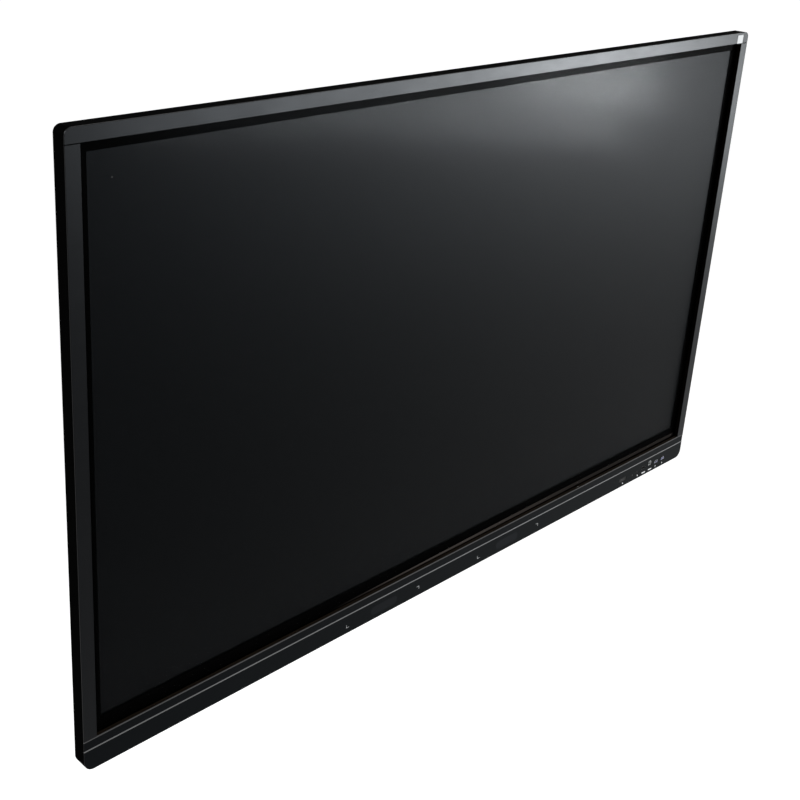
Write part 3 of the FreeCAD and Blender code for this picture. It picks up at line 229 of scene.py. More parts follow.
# Plain grained finishes: name, dark and light tone, roughness, grain, bump height, index of refraction, other settings
GRAINED = (
    ("rail_black", grey(0.0010), grey(0.0016), 0.6, 0.4, 0.02, 1.015, {}),
    ("panel_black", (0.0010, 0.0015, 0.0018), (0.0018, 0.0025, 0.0029), 0.32, 0.35, 0.01, 1.092, {"tint": COOLER}),
    ("pen_pad", (0.0040, 0.0046, 0.0054), (0.0058, 0.0064, 0.0072), 0.40, 0.3, 0.01, 1.095, {"tint": COOLER}),
    ("ledge_dark", (0.0014, 0.0018, 0.0022), (0.0022, 0.0027, 0.0032), 0.32, 0.4, 0.01, 1.09, {"tint": COOLER}),
    ("trim_bright", grey(0.105), grey(0.135), 0.36, 0.2, 0.004, 1.5, {"metal": 1.0, "stretch": ALONG_X}),
    # The upper trim strip: the same metal in darker tones, which are painted shade for the shade of the frame's
    # opening
    ("trim_shaded", grey(0.048), grey(0.064), 0.28, 0.2, 0.004, 1.5, {"metal": 1.0, "stretch": ALONG_X}),
    ("filter_black", (0.0035, 0.0026, 0.0018), (0.0055, 0.0042, 0.0030), 0.2, 0.6, 0, 1.09, {}),
    # The lower filter: its dark red plastic in lighter brown tones, which are painted light for the light that falls
    # on its upper side
    ("filter_brown_lit", (0.0180, 0.0130, 0.0092), (0.0250, 0.0182, 0.0128), 0.3, 0.6, 0, 1.09, {}),
    ("border_ink", grey(0.0004), grey(0.0007), 0.3, 0.6, 0, 1.02, {}),
    ("clear_film", grey(0.78), grey(0.84), 0.5, 0.5, 0.01, 1.5, {}),
    ("white_sheet", grey(0.8), grey(0.86), 0.55, 0.5, 0.01, 1.5, {}),
    ("seal_rubber", grey(0.004), grey(0.007), 0.8, 0.4, 0.03, 1.3, {}),
    ("frame_plastic", grey(0.006), grey(0.010), 0.55, 0.5, 0.03, 1.35, {}),
    ("sink_alu", (0.60, 0.61, 0.62), (0.70, 0.71, 0.72), 0.35, 0.3, 0.01, 1.5, {"metal": 1.0, "stretch": ALONG_Y}),
    ("shell_steel", grey(0.66), grey(0.78), 0.34, 0.25, 0.004, 1.5, {"metal": 1.0, "stretch": ALONG_Y}),
    ("shell_dark", grey(0.10), grey(0.14), 0.34, 0.25, 0.004, 1.5, {"metal": 1.0, "stretch": ALONG_Y}),
    ("tongue_blue", (0.07, 0.10, 0.72), (0.10, 0.13, 0.84), 0.40, 0.3, 0.01, 1.5, {}),
    ("socket_black", grey(0.006), grey(0.010), 0.5, 0.3, 0.02, 1.4, {}),
    ("button_black", grey(0.0020), grey(0.0034), 0.38, 0.3, 0.01, 1.16, {}),
    ("lens_dark", (0.002, 0.001, 0.001), (0.004, 0.0015, 0.0015), 0.12, 0.6, 0.002, 1.3, {}),
    ("magnet", grey(0.30), grey(0.36), 0.35, 0.4, 0.01, 1.5, {"metal": 1.0}),
    ("handle_black", grey(0.006), grey(0.010), 0.45, 0.6, 0.05, 1.4, {}),
    ("screw_black", grey(0.02), grey(0.035), 0.38, 0.2, 0.005, 1.5, {"metal": 0.8}),
    ("ink_white", grey(0.66), grey(0.74), 0.5, 0.2, 0.005, 1.3, {}),
    ("ink_grey", grey(0.36), grey(0.42), 0.5, 0.2, 0.005, 1.3, {}),
    ("mark_grey", grey(0.032), grey(0.046), 0.45, 0.2, 0.003, 1.2, {}),
    ("label_white", grey(0.42), grey(0.50), 0.55, 0.4, 0.008, 1.2, {}),
    ("contact_gold", (0.60, 0.42, 0.16), (0.72, 0.52, 0.22), 0.25, 0.1, 0.002, 1.5, {"metal": 1.0}),
)


def satin_grey():
    """Painted metal strips: dark grey satin with faint stains that dull the gloss a little."""
    shade = Shade("satin_grey")
    fine = shade.noise(1 / (0.5 * MM), 4.0)
    stains = shade.noise(13.0, 5.0, (1.0, 1.0, 2.5))
    shade.mottled(fine, (0.0012, 0.0013, 0.0015), (0.0026, 0.0028, 0.0031))
    shade.roughness(shade.ranged(stains, 0.35, 0.75, 0.300, 0.340))
    shade.bump(fine, 0.005 * MM)
    return shade.plain(IOR=1.155, Specular_Tint=(*COOL, 1))


def screen_glass():
    """Clear glass with a faint gloss. Most of the gloss in view comes from the film on the panel behind it."""
    shade = Shade("screen_glass")
    smears = shade.noise(2.2)
    shade.uneven(smears, 0.10, 0.12)
    return shade.plain(Base_Color=(0, 0, 0, 1), IOR=1.10, Alpha=0.03, Specular_Tint=(*COOLER, 1))


def screen_black():
    """The display panel's face: a matt film with a broad sheen, under a thin smoother coat."""
    shade = Shade("screen_black")
    film = shade.noise(1 / (0.8 * MM), 2.0)
    clouds = shade.noise(3.0, 2.0)
    shade.mottled(film, (0.0005, 0.0006, 0.0007), (0.0009, 0.0010, 0.0011))
    shade.uneven(clouds, 0.414, 0.424)
    shade.plain(Coat_Weight=0.27, Coat_IOR=1.09, Coat_Roughness=0.15)
    return shade.plain(IOR=1.088, Specular_Tint=(*COOLER, 1))


def border_band():
    """Painted reflection: a brown-grey line in the border's print that stands for the trim below mirrored in the
    glass. It fades out to the left and dims to the right.
    """
    shade = Shade("border_band")
    split = shade.add("ShaderNodeSeparateXYZ")
    shade.link(shade.place, split.inputs["Vector"])
    fade = shade.ranged(split.outputs["X"], -0.32, -0.14, 0.0, 1.0)
    fall = shade.ranged(split.outputs["X"], -0.10, 0.42, 1.0, 0.25)
    both = shade.add("ShaderNodeMath", operation="MULTIPLY")
    shade.link(fade, both.inputs[0])
    shade.link(fall, both.inputs[1])
    # Painted reflection: the lighter brown-grey tone stands for the trim mirrored in the glass
    shade.colour(shade.blend(both.outputs[0], grey(0.0005), (0.046, 0.039, 0.035)))
    shade.uneven(shade.noise(30.0), 0.45, 0.55)
    return shade.plain(IOR=1.02)


def zinc_steel():
    """Zinc-coated sheet steel with a faint spangle."""
    shade = Shade("zinc_steel")
    spangle = shade.cells(90.0)
    shade.colour(shade.blend(shade.ranged(spangle, 0, 0.9, 0, 1), (0.42, 0.43, 0.44), (0.55, 0.56, 0.57)))
    shade.uneven(shade.noise(40.0), 0.32, 0.45)
    shade.bump(shade.noise(700.0), 0.01 * MM)
    return shade.plain(Metallic=1.0)


def cover_black():
    """The rear cover's black paint, with a leather-like grain."""
    shade = Shade("cover_black")
    fine = shade.cells(1400.0)
    broad = shade.noise(7.0)
    shade.mottled(broad, grey(0.0075), (0.0105, 0.0105, 0.011))
    shade.uneven(broad, 0.48, 0.58)
    shade.bump(fine, 0.06 * MM)
    return shade.plain(IOR=1.4)


def board_green():
    """Circuit board with lighter traces under its lacquer."""
    shade = Shade("board_green")
    traces = shade.noise(220.0, 1.0, (1, 1, 0.15))
    dark, light = (0.010, 0.075, 0.030), (0.020, 0.120, 0.050)
    shade.colour(shade.blend(shade.ranged(traces, 0.49, 0.51, 0, 1), dark, light))
    shade.roughness(shade.ranged(traces, 0.4, 0.6, 0.30, 0.42))
    shade.bump(traces, 0.02 * MM)
    return shade


def finishes():
    """All materials by name."""
    made = {row[0]: grained(*row[:-1], **row[-1]).material for row in GRAINED}
    for make in (satin_grey, screen_glass, screen_black, border_band, zinc_steel, cover_black, board_green):
        made[make.__name__] = make().material
    return made


FINISHES = finishes()

# Nodes that look different from the others of their slot
OTHER_FINISHES = (
    ("upper_trim_strip", "trim_shaded"),
    ("ir_filter_bottom", "filter_brown_lit"),
    ("hdmi_socket", "shell_dark"),
    ("usb_c_socket", "shell_dark"),
)


def dress_nodes():
    """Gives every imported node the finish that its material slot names."""
    for packed in frame["nodes"].values():
        for held in packed.material_slots:
            held.material = FINISHES[held.material.name.split(".")[0]]
    for name, finish in OTHER_FINISHES:
        for held in node(name).material_slots:
            held.material = FINISHES[finish]


# Meshes


def piece(name, mesh, finish, body=BODY):
    """Makes an object of a bmesh, with its finish and the body that it rides on."""
    data = bpy.data.meshes.new(name)
    mesh.normal_update()
    mesh.to_mesh(data)
    mesh.free()
    data.materials.append(FINISHES[finish])
    made = bpy.data.objects.new(name, data)
    bpy.context.scene.collection.objects.link(made)
    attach(made, body)
    return made


def skin(mesh, first, second):
    """Joins two loops of the same length with a band of faces."""
    count = len(first)
    for i in range(count):
        j = (i + 1) % count
        mesh.faces.new((first[i], first[j], second[j], second[i]))


def plate(mesh, points, y_front, y_back):
    """Adds an upright plate to a bmesh from its outline in (x, z), facing -y."""
    front = [mesh.verts.new((x, y_front, z)) for x, z in points]
    back = [mesh.verts.new((x, y_back, z)) for x, z in points]
    skin(mesh, front, back)
    mesh.faces.new(back)
    mesh.faces.new(list(reversed(front)))


def ring(mesh, outer, inner, y_front, y_back):
    """Adds a closed frame between two rectangles (x0, x1, z0, z1) to a bmesh."""
    loops = []
    for x0, x1, z0, z1 in (outer, inner):
        corners = ((x0, z0), (x1, z0), (x1, z1), (x0, z1))
        for y in (y_front, y_back):
            loops.append([mesh.verts.new((x, y, z)) for x, z in corners])
    out_front, out_back, in_front, in_back = loops
    for i in range(4):
        j = (i + 1) % 4
        mesh.faces.new((out_front[i], out_front[j], in_front[j], in_front[i]))
        mesh.faces.new((out_back[j], out_back[i], in_back[i], in_back[j]))
        mesh.faces.new((out_front[j], out_front[i], out_back[i], out_back[j]))
        mesh.faces.new((in_front[i], in_front[j], in_back[j], in_back[i]))


def rectangle(x, z, width, height, corner=0.0, steps=5):
    """Outline of a rectangle about (x, z), with round corners where a radius is given."""
    if corner <= 0:
        w, h = width / 2, height / 2
        return [(x - w, z - h), (x + w, z - h), (x + w, z + h), (x - w, z + h)]
    points = []
    for turn, (sx, sz) in enumerate(((-1, -1), (1, -1), (1, 1), (-1, 1))):
        centre = (x + sx * (width / 2 - corner), z + sz * (height / 2 - corner))
        for i in range(steps + 1):
            angle = math.pi * (1 + turn / 2) + math.pi / 2 * i / steps
            points.append((centre[0] + corner * math.cos(angle), centre[1] + corner * math.sin(angle)))
    return points


def round_outline(radius, sides):
    """Outline of a circle about the origin."""
    angles = [2 * math.pi * i / sides for i in range(sides)]
    return [(radius * math.cos(angle), radius * math.sin(angle)) for angle in angles]


def cross(arm, half):
    """Outline of a cross with arms of a given length and half width."""
    quarter = [(half, half), (half, arm), (-half, arm)]
    points = []
    for turn in range(4):
        for x, y in quarter:
            for _ in range(turn):
                x, y = -y, x
            points.append((x, y))
    return points


def islands(name):
    """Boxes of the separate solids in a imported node, as (lowest corner, highest corner)."""
    mesh = bmesh.new()
    mesh.from_mesh(node(name).data)
    bmesh.ops.remove_doubles(mesh, verts=mesh.verts, dist=1e-6)
    seen, boxes = set(), []
    for start in mesh.verts:
        if start in seen:
            continue
        stack, found = [start], []
        seen.add(start)
        while stack:
            vert = stack.pop()
            found.append(vert.co.copy())
            for edge in vert.link_edges:
                other = edge.other_vert(vert)
                if other not in seen:
                    seen.add(other)
                    stack.append(other)
        low = Vector([min(p[i] for p in found) for i in range(3)])
        high = Vector([max(p[i] for p in found) for i in range(3)])
        boxes.append((low, high))
    mesh.free()
    return sorted(boxes, key=lambda b: (b[0].x, b[0].z))


def turned(mesh, centre, axis, profile, sides):
    """Adds a closed turned form to a bmesh: profile is (radius, height along the axis) from low to high.

    Returns the loop of its last ring, which is left open for a cap."""
    axis = Vector(axis)
    first = axis.orthogonal().normalized()
    second = axis.cross(first)
    rings = []
    for radius, height in profile:
        loop = []
        for i in range(sides):
            angle = 2 * math.pi * i / sides
            out = first * (radius * math.cos(angle)) + second * (radius * math.sin(angle))
            loop.append(mesh.verts.new(Vector(centre) + axis * height + out))
        rings.append(loop)
    for low, high in zip(rings, rings[1:]):
        skin(mesh, low, high)
    mesh.faces.new(list(reversed(rings[0])))
    return rings[-1]


def recess(mesh, rim, centre, axis, outline, depth, turn=0.0):
    """Closes a turned form's open top with a flat face that has a recess of a given outline in it."""
    axis = Vector(axis)
    first = axis.orthogonal().normalized()
    second = axis.cross(first)
    spin = Matrix.Rotation(turn, 2)
    loops = []
    for level in (0.0, -depth):
        loop = []
        for point in outline:
            u, v = spin @ Vector(point)
            loop.append(mesh.verts.new(Vector(centre) + axis * level + first * u + second * v))
        loops.append(loop)
    edges = []
    for loop in (rim, loops[0]):
        for i, vert in enumerate(loop):
            other = loop[(i + 1) % len(loop)]
            edges.append(mesh.edges.get((vert, other)) or mesh.edges.new((vert, other)))
    bmesh.ops.triangle_fill(mesh, use_beauty=True, use_dissolve=False, edges=edges)
    top, floor = loops
    skin(mesh, top, floor)
    mesh.faces.new(floor)
    bmesh.ops.recalc_face_normals(mesh, faces=mesh.faces)


# Pieces on the front. Lengths are in millimetres, and z is measured from the bottom edge

PANEL_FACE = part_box("lower_front_panel")[0].y

# Active area in metres: x from, x to, z from, z to
ACTIVE = (-825.1 * MM, 825.1 * MM, -415.4 * MM, 512.9 * MM)

# Prints, and the band of painted reflection, by how far their front and back lie before the rear face of the cover
# glass
BORDER_DEPTHS = (0.10, 0.04)
BORDER_FROM_EDGE = 1.0
REFLECTION_BAND_DEPTHS = (0.13, 0.09)
# Outline of the pale band in the border's print, a painted reflection of the trim below, as (x, z) in millimetres
REFLECTION_BAND = (
    (-320, 57.0), (-100, 57.0), (100, 58.7), (370, 60.0), (838, 61.5),
    (838, 69.0), (370, 69.0), (100, 66.0), (-100, 63.0), (-320, 61.0),
)

# Dust on the glass: x, z, width, and height and corner as shares of the width
DUST = ((643.0, 131.7, 2.4), (700.9, 115.6, 2.8), (-787.7, 973.1, 2.6))
DUST_HEIGHT, DUST_CORNER = 0.8, 0.3

FLECK_X = 438.0
FLECK_RADII = (1.3, 1.1)
FLECK_SIDES = 9

# Pen corners: x, z and the way that their arms point
PEN_CORNERS = ((-288.5, 12.5, 1), (-87.5, 22.5, -1), (91.0, 12.5, 1), (293.5, 22.5, -1))
PEN_ARM, PEN_STROKE = 7.0, 0.9
PAD_HEIGHT, PAD_DROP, PAD_STEPS = 19.0, 1.5, 10
PAD_CORNER_SPARE = 0.01

# Port marks: places, and the size and corner of each kind
PORT_MARK_Z = 8.0
PORT_DOTS = (618.1, 679.5, 755.4, 784.3)
DOT_SIZE, DOT_CORNER = (3.2, 3.0), 1.4
PORT_BARS = (704.6, 731.8)
BAR_SIZE, BAR_CORNER, BAR_DROP = (14.0, 2.2), 0.5, 0.5

# Lines on the button: height above its middle and length
BUTTON_LINES = ((2.2, 11.0), (0.4, 15.0), (-1.4, 11.0))
BUTTON_LINE_SHIFT, BUTTON_LINE_WIDTH = 2.0, 0.55

STICKER_PLACE = (833.0, 1038.5)
STICKER_SIZE, STICKER_CORNER = (22.0, 18.0), 1.2

TONGUE_CONTACTS = (-1.5, -0.5, 0.5, 1.5)
TONGUE_PITCH, TONGUE_HALF_WIDTH = 2.4, 0.6
TONGUE_PROUD, TONGUE_SUNK = 0.12, 0.1
TONGUE_FRONT, TONGUE_BACK = 0.6, 0.5


def height_above_edge(z):
    return CAD_BOX[0].z + z * MM


def printed(mesh, points, face):
    """Adds ink of a given outline on a face that looks to -y."""
    plate(mesh, points, face - INK, face + INK)


def screen_border():
    """The black print round the active area, just inside the rear face of the cover glass, and a pale line in it that
    is a painted reflection of the trim below.
    """
    low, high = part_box("cover_glass")
    mesh = bmesh.new()
    edge = BORDER_FROM_EDGE * MM
    outer = (low.x + edge, high.x - edge, low.z + edge, high.z - edge)
    ring(mesh, outer, ACTIVE, *[high.y - depth * MM for depth in BORDER_DEPTHS])
    piece("screen_border", mesh, "border_ink")
    band = bmesh.new()
    outline = [(x * MM, height_above_edge(z)) for x, z in REFLECTION_BAND]
    plate(band, outline, *[high.y - depth * MM for depth in REFLECTION_BAND_DEPTHS])
    piece("painted_reflection_line", band, "border_band")


def dust_specks():
    """A few flecks of dust on the cover glass, and one on the lower filter."""
    mesh = bmesh.new()
    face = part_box("cover_glass")[0].y
    for x, z, wide in DUST:
        tall, corner = DUST_HEIGHT * wide * MM, DUST_CORNER * wide * MM
        printed(mesh, rectangle(x * MM, height_above_edge(z), wide * MM, tall, corner), face)
    piece("dust_specks", mesh, "mark_grey")
    fleck = bmesh.new()
    low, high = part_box("ir_filter_bottom")
    middle = Vector((FLECK_X * MM, (low.y + high.y) / 2, high.z - INK))
    wide, narrow = FLECK_RADII
    rim = turned(fleck, middle, (0, 0, 1), ((wide * MM, 0.0), (narrow * MM, 2 * INK)), FLECK_SIDES)
    fleck.faces.new(rim)
    piece("filter_fleck", fleck, "ink_white")


def pen_marks():
    """Corner marks of the two places where pens are held by magnets, and the faint pads between them."""
    mesh = bmesh.new()
    for x, z, way in PEN_CORNERS:
        x, z = x * MM, height_above_edge(z)
        arm, stroke = way * PEN_ARM * MM, way * PEN_STROKE * MM
        points = [
            (x, z), (x + arm, z), (x + arm, z + stroke),
            (x + stroke, z + stroke), (x + stroke, z + arm), (x, z + arm),
        ]
        printed(mesh, points, PANEL_FACE)
    piece("pen_marks", mesh, "ink_grey")
    pads = bmesh.new()
    for low, high in islands("pen_magnets"):
        middle = (low + high) / 2
        tall = PAD_HEIGHT * MM
        corner = tall / 2 - PAD_CORNER_SPARE * MM
        outline = rectangle(middle.x, middle.z - PAD_DROP * MM, high.x - low.x, tall, corner, PAD_STEPS)
        printed(pads, outline, PANEL_FACE)
    piece("pen_pads", pads, "pen_pad")


def port_marks():
    """Plain marks under the front sockets: round dots and bars with no words."""
    mesh = bmesh.new()
    z = height_above_edge(PORT_MARK_Z)
    wide, tall = DOT_SIZE
    for x in PORT_DOTS:
        printed(mesh, rectangle(x * MM, z, wide * MM, tall * MM, DOT_CORNER * MM), PANEL_FACE)
    wide, tall = BAR_SIZE
    for x in PORT_BARS:
        outline = rectangle(x * MM, z - BAR_DROP * MM, wide * MM, tall * MM, BAR_CORNER * MM)
        printed(mesh, outline, PANEL_FACE)
    piece("port_marks", mesh, "ink_white")


def button_marks():
    """Fine pale lines on the power button's cap."""
    low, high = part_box("power_button")
    middle = (low + high) / 2
    mesh = bmesh.new()
    for shift, wide in BUTTON_LINES:
        x, z = middle.x - BUTTON_LINE_SHIFT * MM, middle.z + shift * MM
        printed(mesh, rectangle(x, z, wide * MM, BUTTON_LINE_WIDTH * MM), low.y)
    piece("button_marks", mesh, "mark_grey", "power_button")


def sticker():
    """Blank sticker at the right end of the top strip."""
    mesh = bmesh.new()
    x, z = STICKER_PLACE
    wide, tall = STICKER_SIZE
    outline = rectangle(x * MM, height_above_edge(z), wide * MM, tall * MM, STICKER_CORNER * MM)
    printed(mesh, outline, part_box("bezel_top")[0].y)
    piece("blank_sticker", mesh, "label_white")


def front_contacts():
    """Contacts on the tongues of the two front sockets."""
    mesh = bmesh.new()
    half = TONGUE_HALF_WIDTH * MM
    for low, high in islands("usb_a_tongues"):
        middle = (low.x + high.x) / 2
        below, above = low.z - TONGUE_PROUD * MM, low.z + TONGUE_SUNK * MM
        for step in TONGUE_CONTACTS:
            x = middle + step * TONGUE_PITCH * MM
            outline = [(x - half, below), (x + half, below), (x + half, above), (x - half, above)]
            plate(mesh, outline, low.y + TONGUE_FRONT * MM, high.y - TONGUE_BACK * MM)
    piece("front_contacts", mesh, "contact_gold")


# Pieces on the back. Profiles are (radius, height), as shares of the screw's where it has a plain one to stand for,
# and in millimetres elsewhere

SCREW_PROFILE = ((1.0, 0.0), (1.0, 0.45), (0.93, 0.75), (0.72, 1.0))
SCREW_SIDES = 20
CROSS_ARM, CROSS_HALF, CROSS_DEPTH = 0.55, 0.16, 0.6

# Radians per metre that turn each cross by its place, so that no two stand alike
CROSS_TURN_X, CROSS_TURN_Z = 37, 11

NECK_RADIUS, NECK_HEIGHT, NECK_SIDES = 0.62, 0.28, 20
KNURL_SIDES = 48
KNURL_VALLEY = 0.94

# Rings of the knurled head: height and radius
KNURL_PROFILE = ((0.26, 0.92), (0.32, 1.0), (0.92, 1.0), (1.0, 0.9))
SLOT_LENGTH, SLOT_WIDTH, SLOT_DEPTH, SLOT_TURN = 1.3, 0.2, 0.15, 0.6

# Rows of serial pins: place across and number of pins
PIN_ROWS = ((0.7, 5), (-0.7, 4))
PIN_ROW_STEP, PIN_PITCH, PIN_SET_BACK, PIN_SIDES = 2.0, 2.77, 11.5, 10
PIN_PROFILE = ((0.5, 0.0), (0.5, 8.6), (0.2, 9.2))

# Network contacts: each slopes from (far, low) to (near, high)
SPRING_COUNT, SPRING_PITCH, SPRING_HALF_WIDTH = 8, 1.02, 0.22
SPRING_NEAR, SPRING_FAR = 3.5, 13.0
SPRING_NEAR_Y, SPRING_FAR_Y = (4.3, 4.7), (1.4, 1.8)

JACK_PROFILE = ((3.2, 0.0), (3.2, 0.55), (2.9, 0.8))
JACK_SET_BACK, JACK_BORE, JACK_BORE_DEPTH, JACK_SIDES = 0.3, 1.8, 0.7, 28


def in_metres(profile):
    return [(radius * MM, height * MM) for radius, height in profile]


def screw_heads():
    """Pan heads with a cross recess in place of the plain cover screws."""
    mesh = bmesh.new()
    for low, high in islands("rear_cover_screws"):
        middle = (low + high) / 2
        radius = (high.x - low.x) / 2
        tall = high.y - low.y
        profile = [(share * radius, rise * tall) for share, rise in SCREW_PROFILE]
        rim = turned(mesh, (middle.x, low.y, middle.z), (0, 1, 0), profile, SCREW_SIDES)
        top = (middle.x, high.y, middle.z)
        outline = cross(CROSS_ARM * radius, CROSS_HALF * radius)
        turn = middle.x * CROSS_TURN_X + middle.z * CROSS_TURN_Z
        recess(mesh, rim, top, (0, 1, 0), outline, CROSS_DEPTH * tall, turn)
    made = piece("cover_screw_heads", mesh, "screw_black")
    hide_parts("rear_cover_screws")


def thumb_screws():
    """Knurled thumb screws with a slot in place of the plain ones on the computer slot's plate."""
    mesh = bmesh.new()
    for low, high in islands("ops_thumb_screws"):
        middle = (low + high) / 2
        radius = (high.z - low.z) / 2
        tall = high.x - low.x
        base = Vector((low.x, middle.y, middle.z))
        neck_radius = NECK_RADIUS * radius
        profile = ((neck_radius, 0.0), (neck_radius, NECK_HEIGHT * tall))
        mesh.faces.new(turned(mesh, base, (1, 0, 0), profile, NECK_SIDES))
        knurl = []
        for share, scale in KNURL_PROFILE:
            loop = []
            for i in range(KNURL_SIDES):
                out = radius * scale * (1.0 if i % 2 else KNURL_VALLEY)
                angle = 2 * math.pi * i / KNURL_SIDES
                point = Vector((share * tall, out * math.cos(angle), out * math.sin(angle)))
                loop.append(mesh.verts.new(base + point))
            knurl.append(loop)
        for before, after in zip(knurl, knurl[1:]):
            skin(mesh, before, after)
        mesh.faces.new(list(reversed(knurl[0])))
        slot = rectangle(0, 0, SLOT_LENGTH * radius, SLOT_WIDTH * radius)
        recess(mesh, knurl[-1], base + Vector((tall, 0, 0)), (1, 0, 0), slot, SLOT_DEPTH * tall, SLOT_TURN)
    made = piece("knurled_thumb_screws", mesh, "zinc_steel")
    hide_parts("ops_thumb_screws")


def serial_pins():
    """Nine pins in the serial socket's shell, in rows of five and four."""
    low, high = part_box("rear_serial_socket")
    middle = (low + high) / 2
    mesh = bmesh.new()
    for row, count in PIN_ROWS:
        for i in range(count):
            z = middle.z + (i - (count - 1) / 2) * PIN_PITCH * MM
            base = (high.x - PIN_SET_BACK * MM, middle.y + row * PIN_ROW_STEP * MM, z)
            mesh.faces.new(turned(mesh, base, (1, 0, 0), in_metres(PIN_PROFILE), PIN_SIDES))
    piece("serial_pins", mesh, "contact_gold")


def network_contacts():
    """Eight spring contacts in each network jack."""
    mesh = bmesh.new()
    half = SPRING_HALF_WIDTH * MM
    for low, high in islands("rear_lan_sockets"):
        middle = (low.z + high.z) / 2
        near, far = high.x - SPRING_NEAR * MM, high.x - SPRING_FAR * MM
        near_low, near_high = [low.y + y * MM for y in SPRING_NEAR_Y]
        far_low, far_high = [low.y + y * MM for y in SPRING_FAR_Y]
        section = ((far, far_low), (near, near_low), (near, near_high), (far, far_high))
        for i in range(SPRING_COUNT):
            z = middle + (i - (SPRING_COUNT - 1) / 2) * SPRING_PITCH * MM
            left = [mesh.verts.new((x, y, z - half)) for x, y in section]
            right = [mesh.verts.new((x, y, z + half)) for x, y in section]
            skin(mesh, left, right)
            mesh.faces.new(list(reversed(left)))
            mesh.faces.new(right)
    piece("network_contacts", mesh, "contact_gold")


def audio_rings():
    """Metal ring round the mouth of each audio jack."""
    mesh = bmesh.new()
    for low, high in islands("rear_audio_jacks"):
        middle = (low + high) / 2
        base = Vector((high.x - JACK_SET_BACK * MM, middle.y, middle.z))
        outer = turned(mesh, base, (1, 0, 0), in_metres(JACK_PROFILE), JACK_SIDES)
        top = base + Vector((JACK_PROFILE[-1][1] * MM, 0, 0))
        bore = round_outline(JACK_BORE * MM, JACK_SIDES)
        recess(mesh, outer, top, (1, 0, 0), bore, JACK_BORE_DEPTH * MM)
    piece("audio_rings", mesh, "shell_steel")


# Studio


def camera():
    data = bpy.data.cameras.new("camera")
    data.lens = CAMERA_LENS
    data.sensor_width = SENSOR_WIDTH
    data.shift_x, data.shift_y = CAMERA_SHIFT
    data.clip_start, data.clip_end = CLIP_RANGE
    made = bpy.data.objects.new("camera", data)
    axes = Matrix((CAMERA_RIGHT, CAMERA_UP, CAMERA_BACK)).transposed()
    made.matrix_world = Matrix.Translation(CAMERA_PLACE) @ axes.to_4x4()
    bpy.context.scene.collection.objects.link(made)
    bpy.context.scene.camera = made


def softbox(name, place, size, radiance):
    """A rectangular lamp with a limited spread, of a given radiance along its axis, that faces the origin.

    It is hidden from the camera itself and seen in reflections."""
    data = bpy.data.lights.new(name, "AREA")
    data.shape = "RECTANGLE"
    data.size, data.size_y = size
    data.spread = 2 * LAMP_HALF_SPREAD
    edge = math.tan(LAMP_HALF_SPREAD)
    data.energy = radiance * math.pi * size[0] * size[1] * (edge - LAMP_HALF_SPREAD) / edge
    data.color = LAMP_TINT
    made = bpy.data.objects.new(name, data)
    made.location = place
    made.rotation_euler = (-Vector(place)).to_track_quat("-Z", "Y").to_euler()
    made.visible_camera = False
    bpy.context.scene.collection.objects.link(made)


def seen_directly(tree):
    """A socket that is 1 for camera, glossy and transmission rays and 0 for the others."""
    path = tree.nodes.new("ShaderNodeLightPath")
    total = path.outputs["Is Camera Ray"]
    for name in ("Is Glossy Ray", "Is Transmission Ray"):
        larger = tree.nodes.new("ShaderNodeMath")
        larger.operation = "MAXIMUM"
        tree.links.new(total, larger.inputs[0])
        tree.links.new(path.outputs[name], larger.inputs[1])
        total = larger.outputs[0]
    return total


def world():
    """White where it is seen, and a weaker light on matt surfaces."""
    made = bpy.data.worlds.new("world")
    made.use_nodes = True
    bpy.context.scene.world = made
    tree = made.node_tree
    background = tree.nodes["Background"]
    background.inputs["Color"].default_value = (1, 1, 1, 1)
    strength = tree.nodes.new("ShaderNodeMapRange")
    strength.inputs["To Min"].default_value = WORLD_LIGHT
    strength.inputs["To Max"].default_value = 1.0
    tree.links.new(seen_directly(tree), strength.inputs["Value"])
    tree.links.new(strength.outputs["Result"], background.inputs["Strength"])


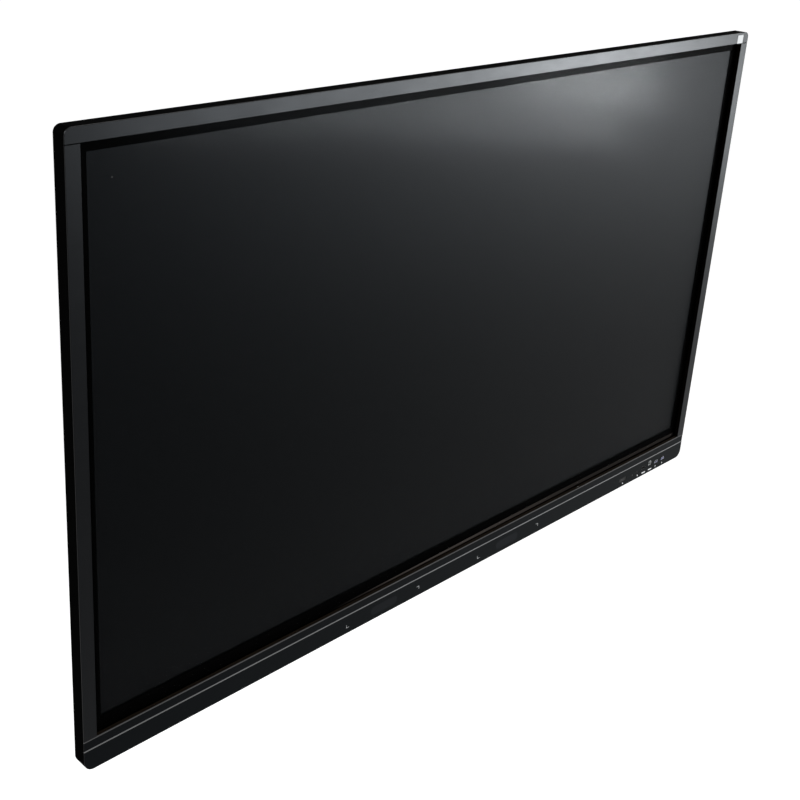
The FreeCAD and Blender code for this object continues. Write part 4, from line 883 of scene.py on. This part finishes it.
def stage_finish():
    """Pale matt paper that shows as near white and keeps the object's shadow."""
    shade = Shade("stage_paper")
    fibres = shade.noise(60.0, 4.0)
    shade.mottled(fibres, grey(PAPER_TONE - PAPER_SPREAD), grey(PAPER_TONE + PAPER_SPREAD))
    shade.plain(Roughness=0.9, IOR=1.05)
    lift = shade.add("ShaderNodeEmission")
    lift.inputs["Color"].default_value = (1, 1, 1, 1)
    strength = shade.add("ShaderNodeMath", operation="MULTIPLY")
    strength.inputs[1].default_value = STAGE_LIFT
    shade.link(seen_directly(shade.tree), strength.inputs[0])
    shade.link(strength.outputs[0], lift.inputs["Strength"])
    both = shade.add("ShaderNodeAddShader")
    shade.link(shade.shader.outputs["BSDF"], both.inputs[0])
    shade.link(lift.outputs["Emission"], both.inputs[1])
    shade.link(both.outputs["Shader"], shade.output.inputs["Surface"])
    return shade.material


def stage():
    """Floor and backdrop as one sheet with a round cove between them."""
    floor = CAD_BOX[0].z - FLOOR_DROP
    profile = [(-STAGE_HALF, floor), (BACKDROP_Y - COVE_RADIUS, floor)]
    for i in range(1, COVE_STEPS + 1):
        angle = math.pi / 2 * i / COVE_STEPS
        y = BACKDROP_Y - COVE_RADIUS + COVE_RADIUS * math.sin(angle)
        profile.append((y, floor + COVE_RADIUS * (1 - math.cos(angle))))
    profile.append((BACKDROP_Y, BACKDROP_HEIGHT))
    mesh = bmesh.new()
    rows = [[mesh.verts.new((x, y, z)) for y, z in profile] for x in (-STAGE_HALF, STAGE_HALF)]
    for i in range(len(profile) - 1):
        mesh.faces.new((rows[0][i], rows[1][i], rows[1][i + 1], rows[0][i + 1]))
    data = bpy.data.meshes.new("stage_sheet")
    mesh.to_mesh(data)
    mesh.free()
    data.materials.append(stage_finish())
    for face in data.polygons:
        face.use_smooth = True
    made = bpy.data.objects.new("stage_sheet", data)
    bpy.context.scene.collection.objects.link(made)


camera()
world()
stage()
for lamp in LAMPS:
    softbox(*lamp)
dress_nodes()
screen_border()
dust_specks()
pen_marks()
port_marks()
button_marks()
sticker()
front_contacts()
screw_heads()
thumb_screws()
serial_pins()
network_contacts()
audio_rings()

bpy.context.scene.view_settings.view_transform = "Standard"
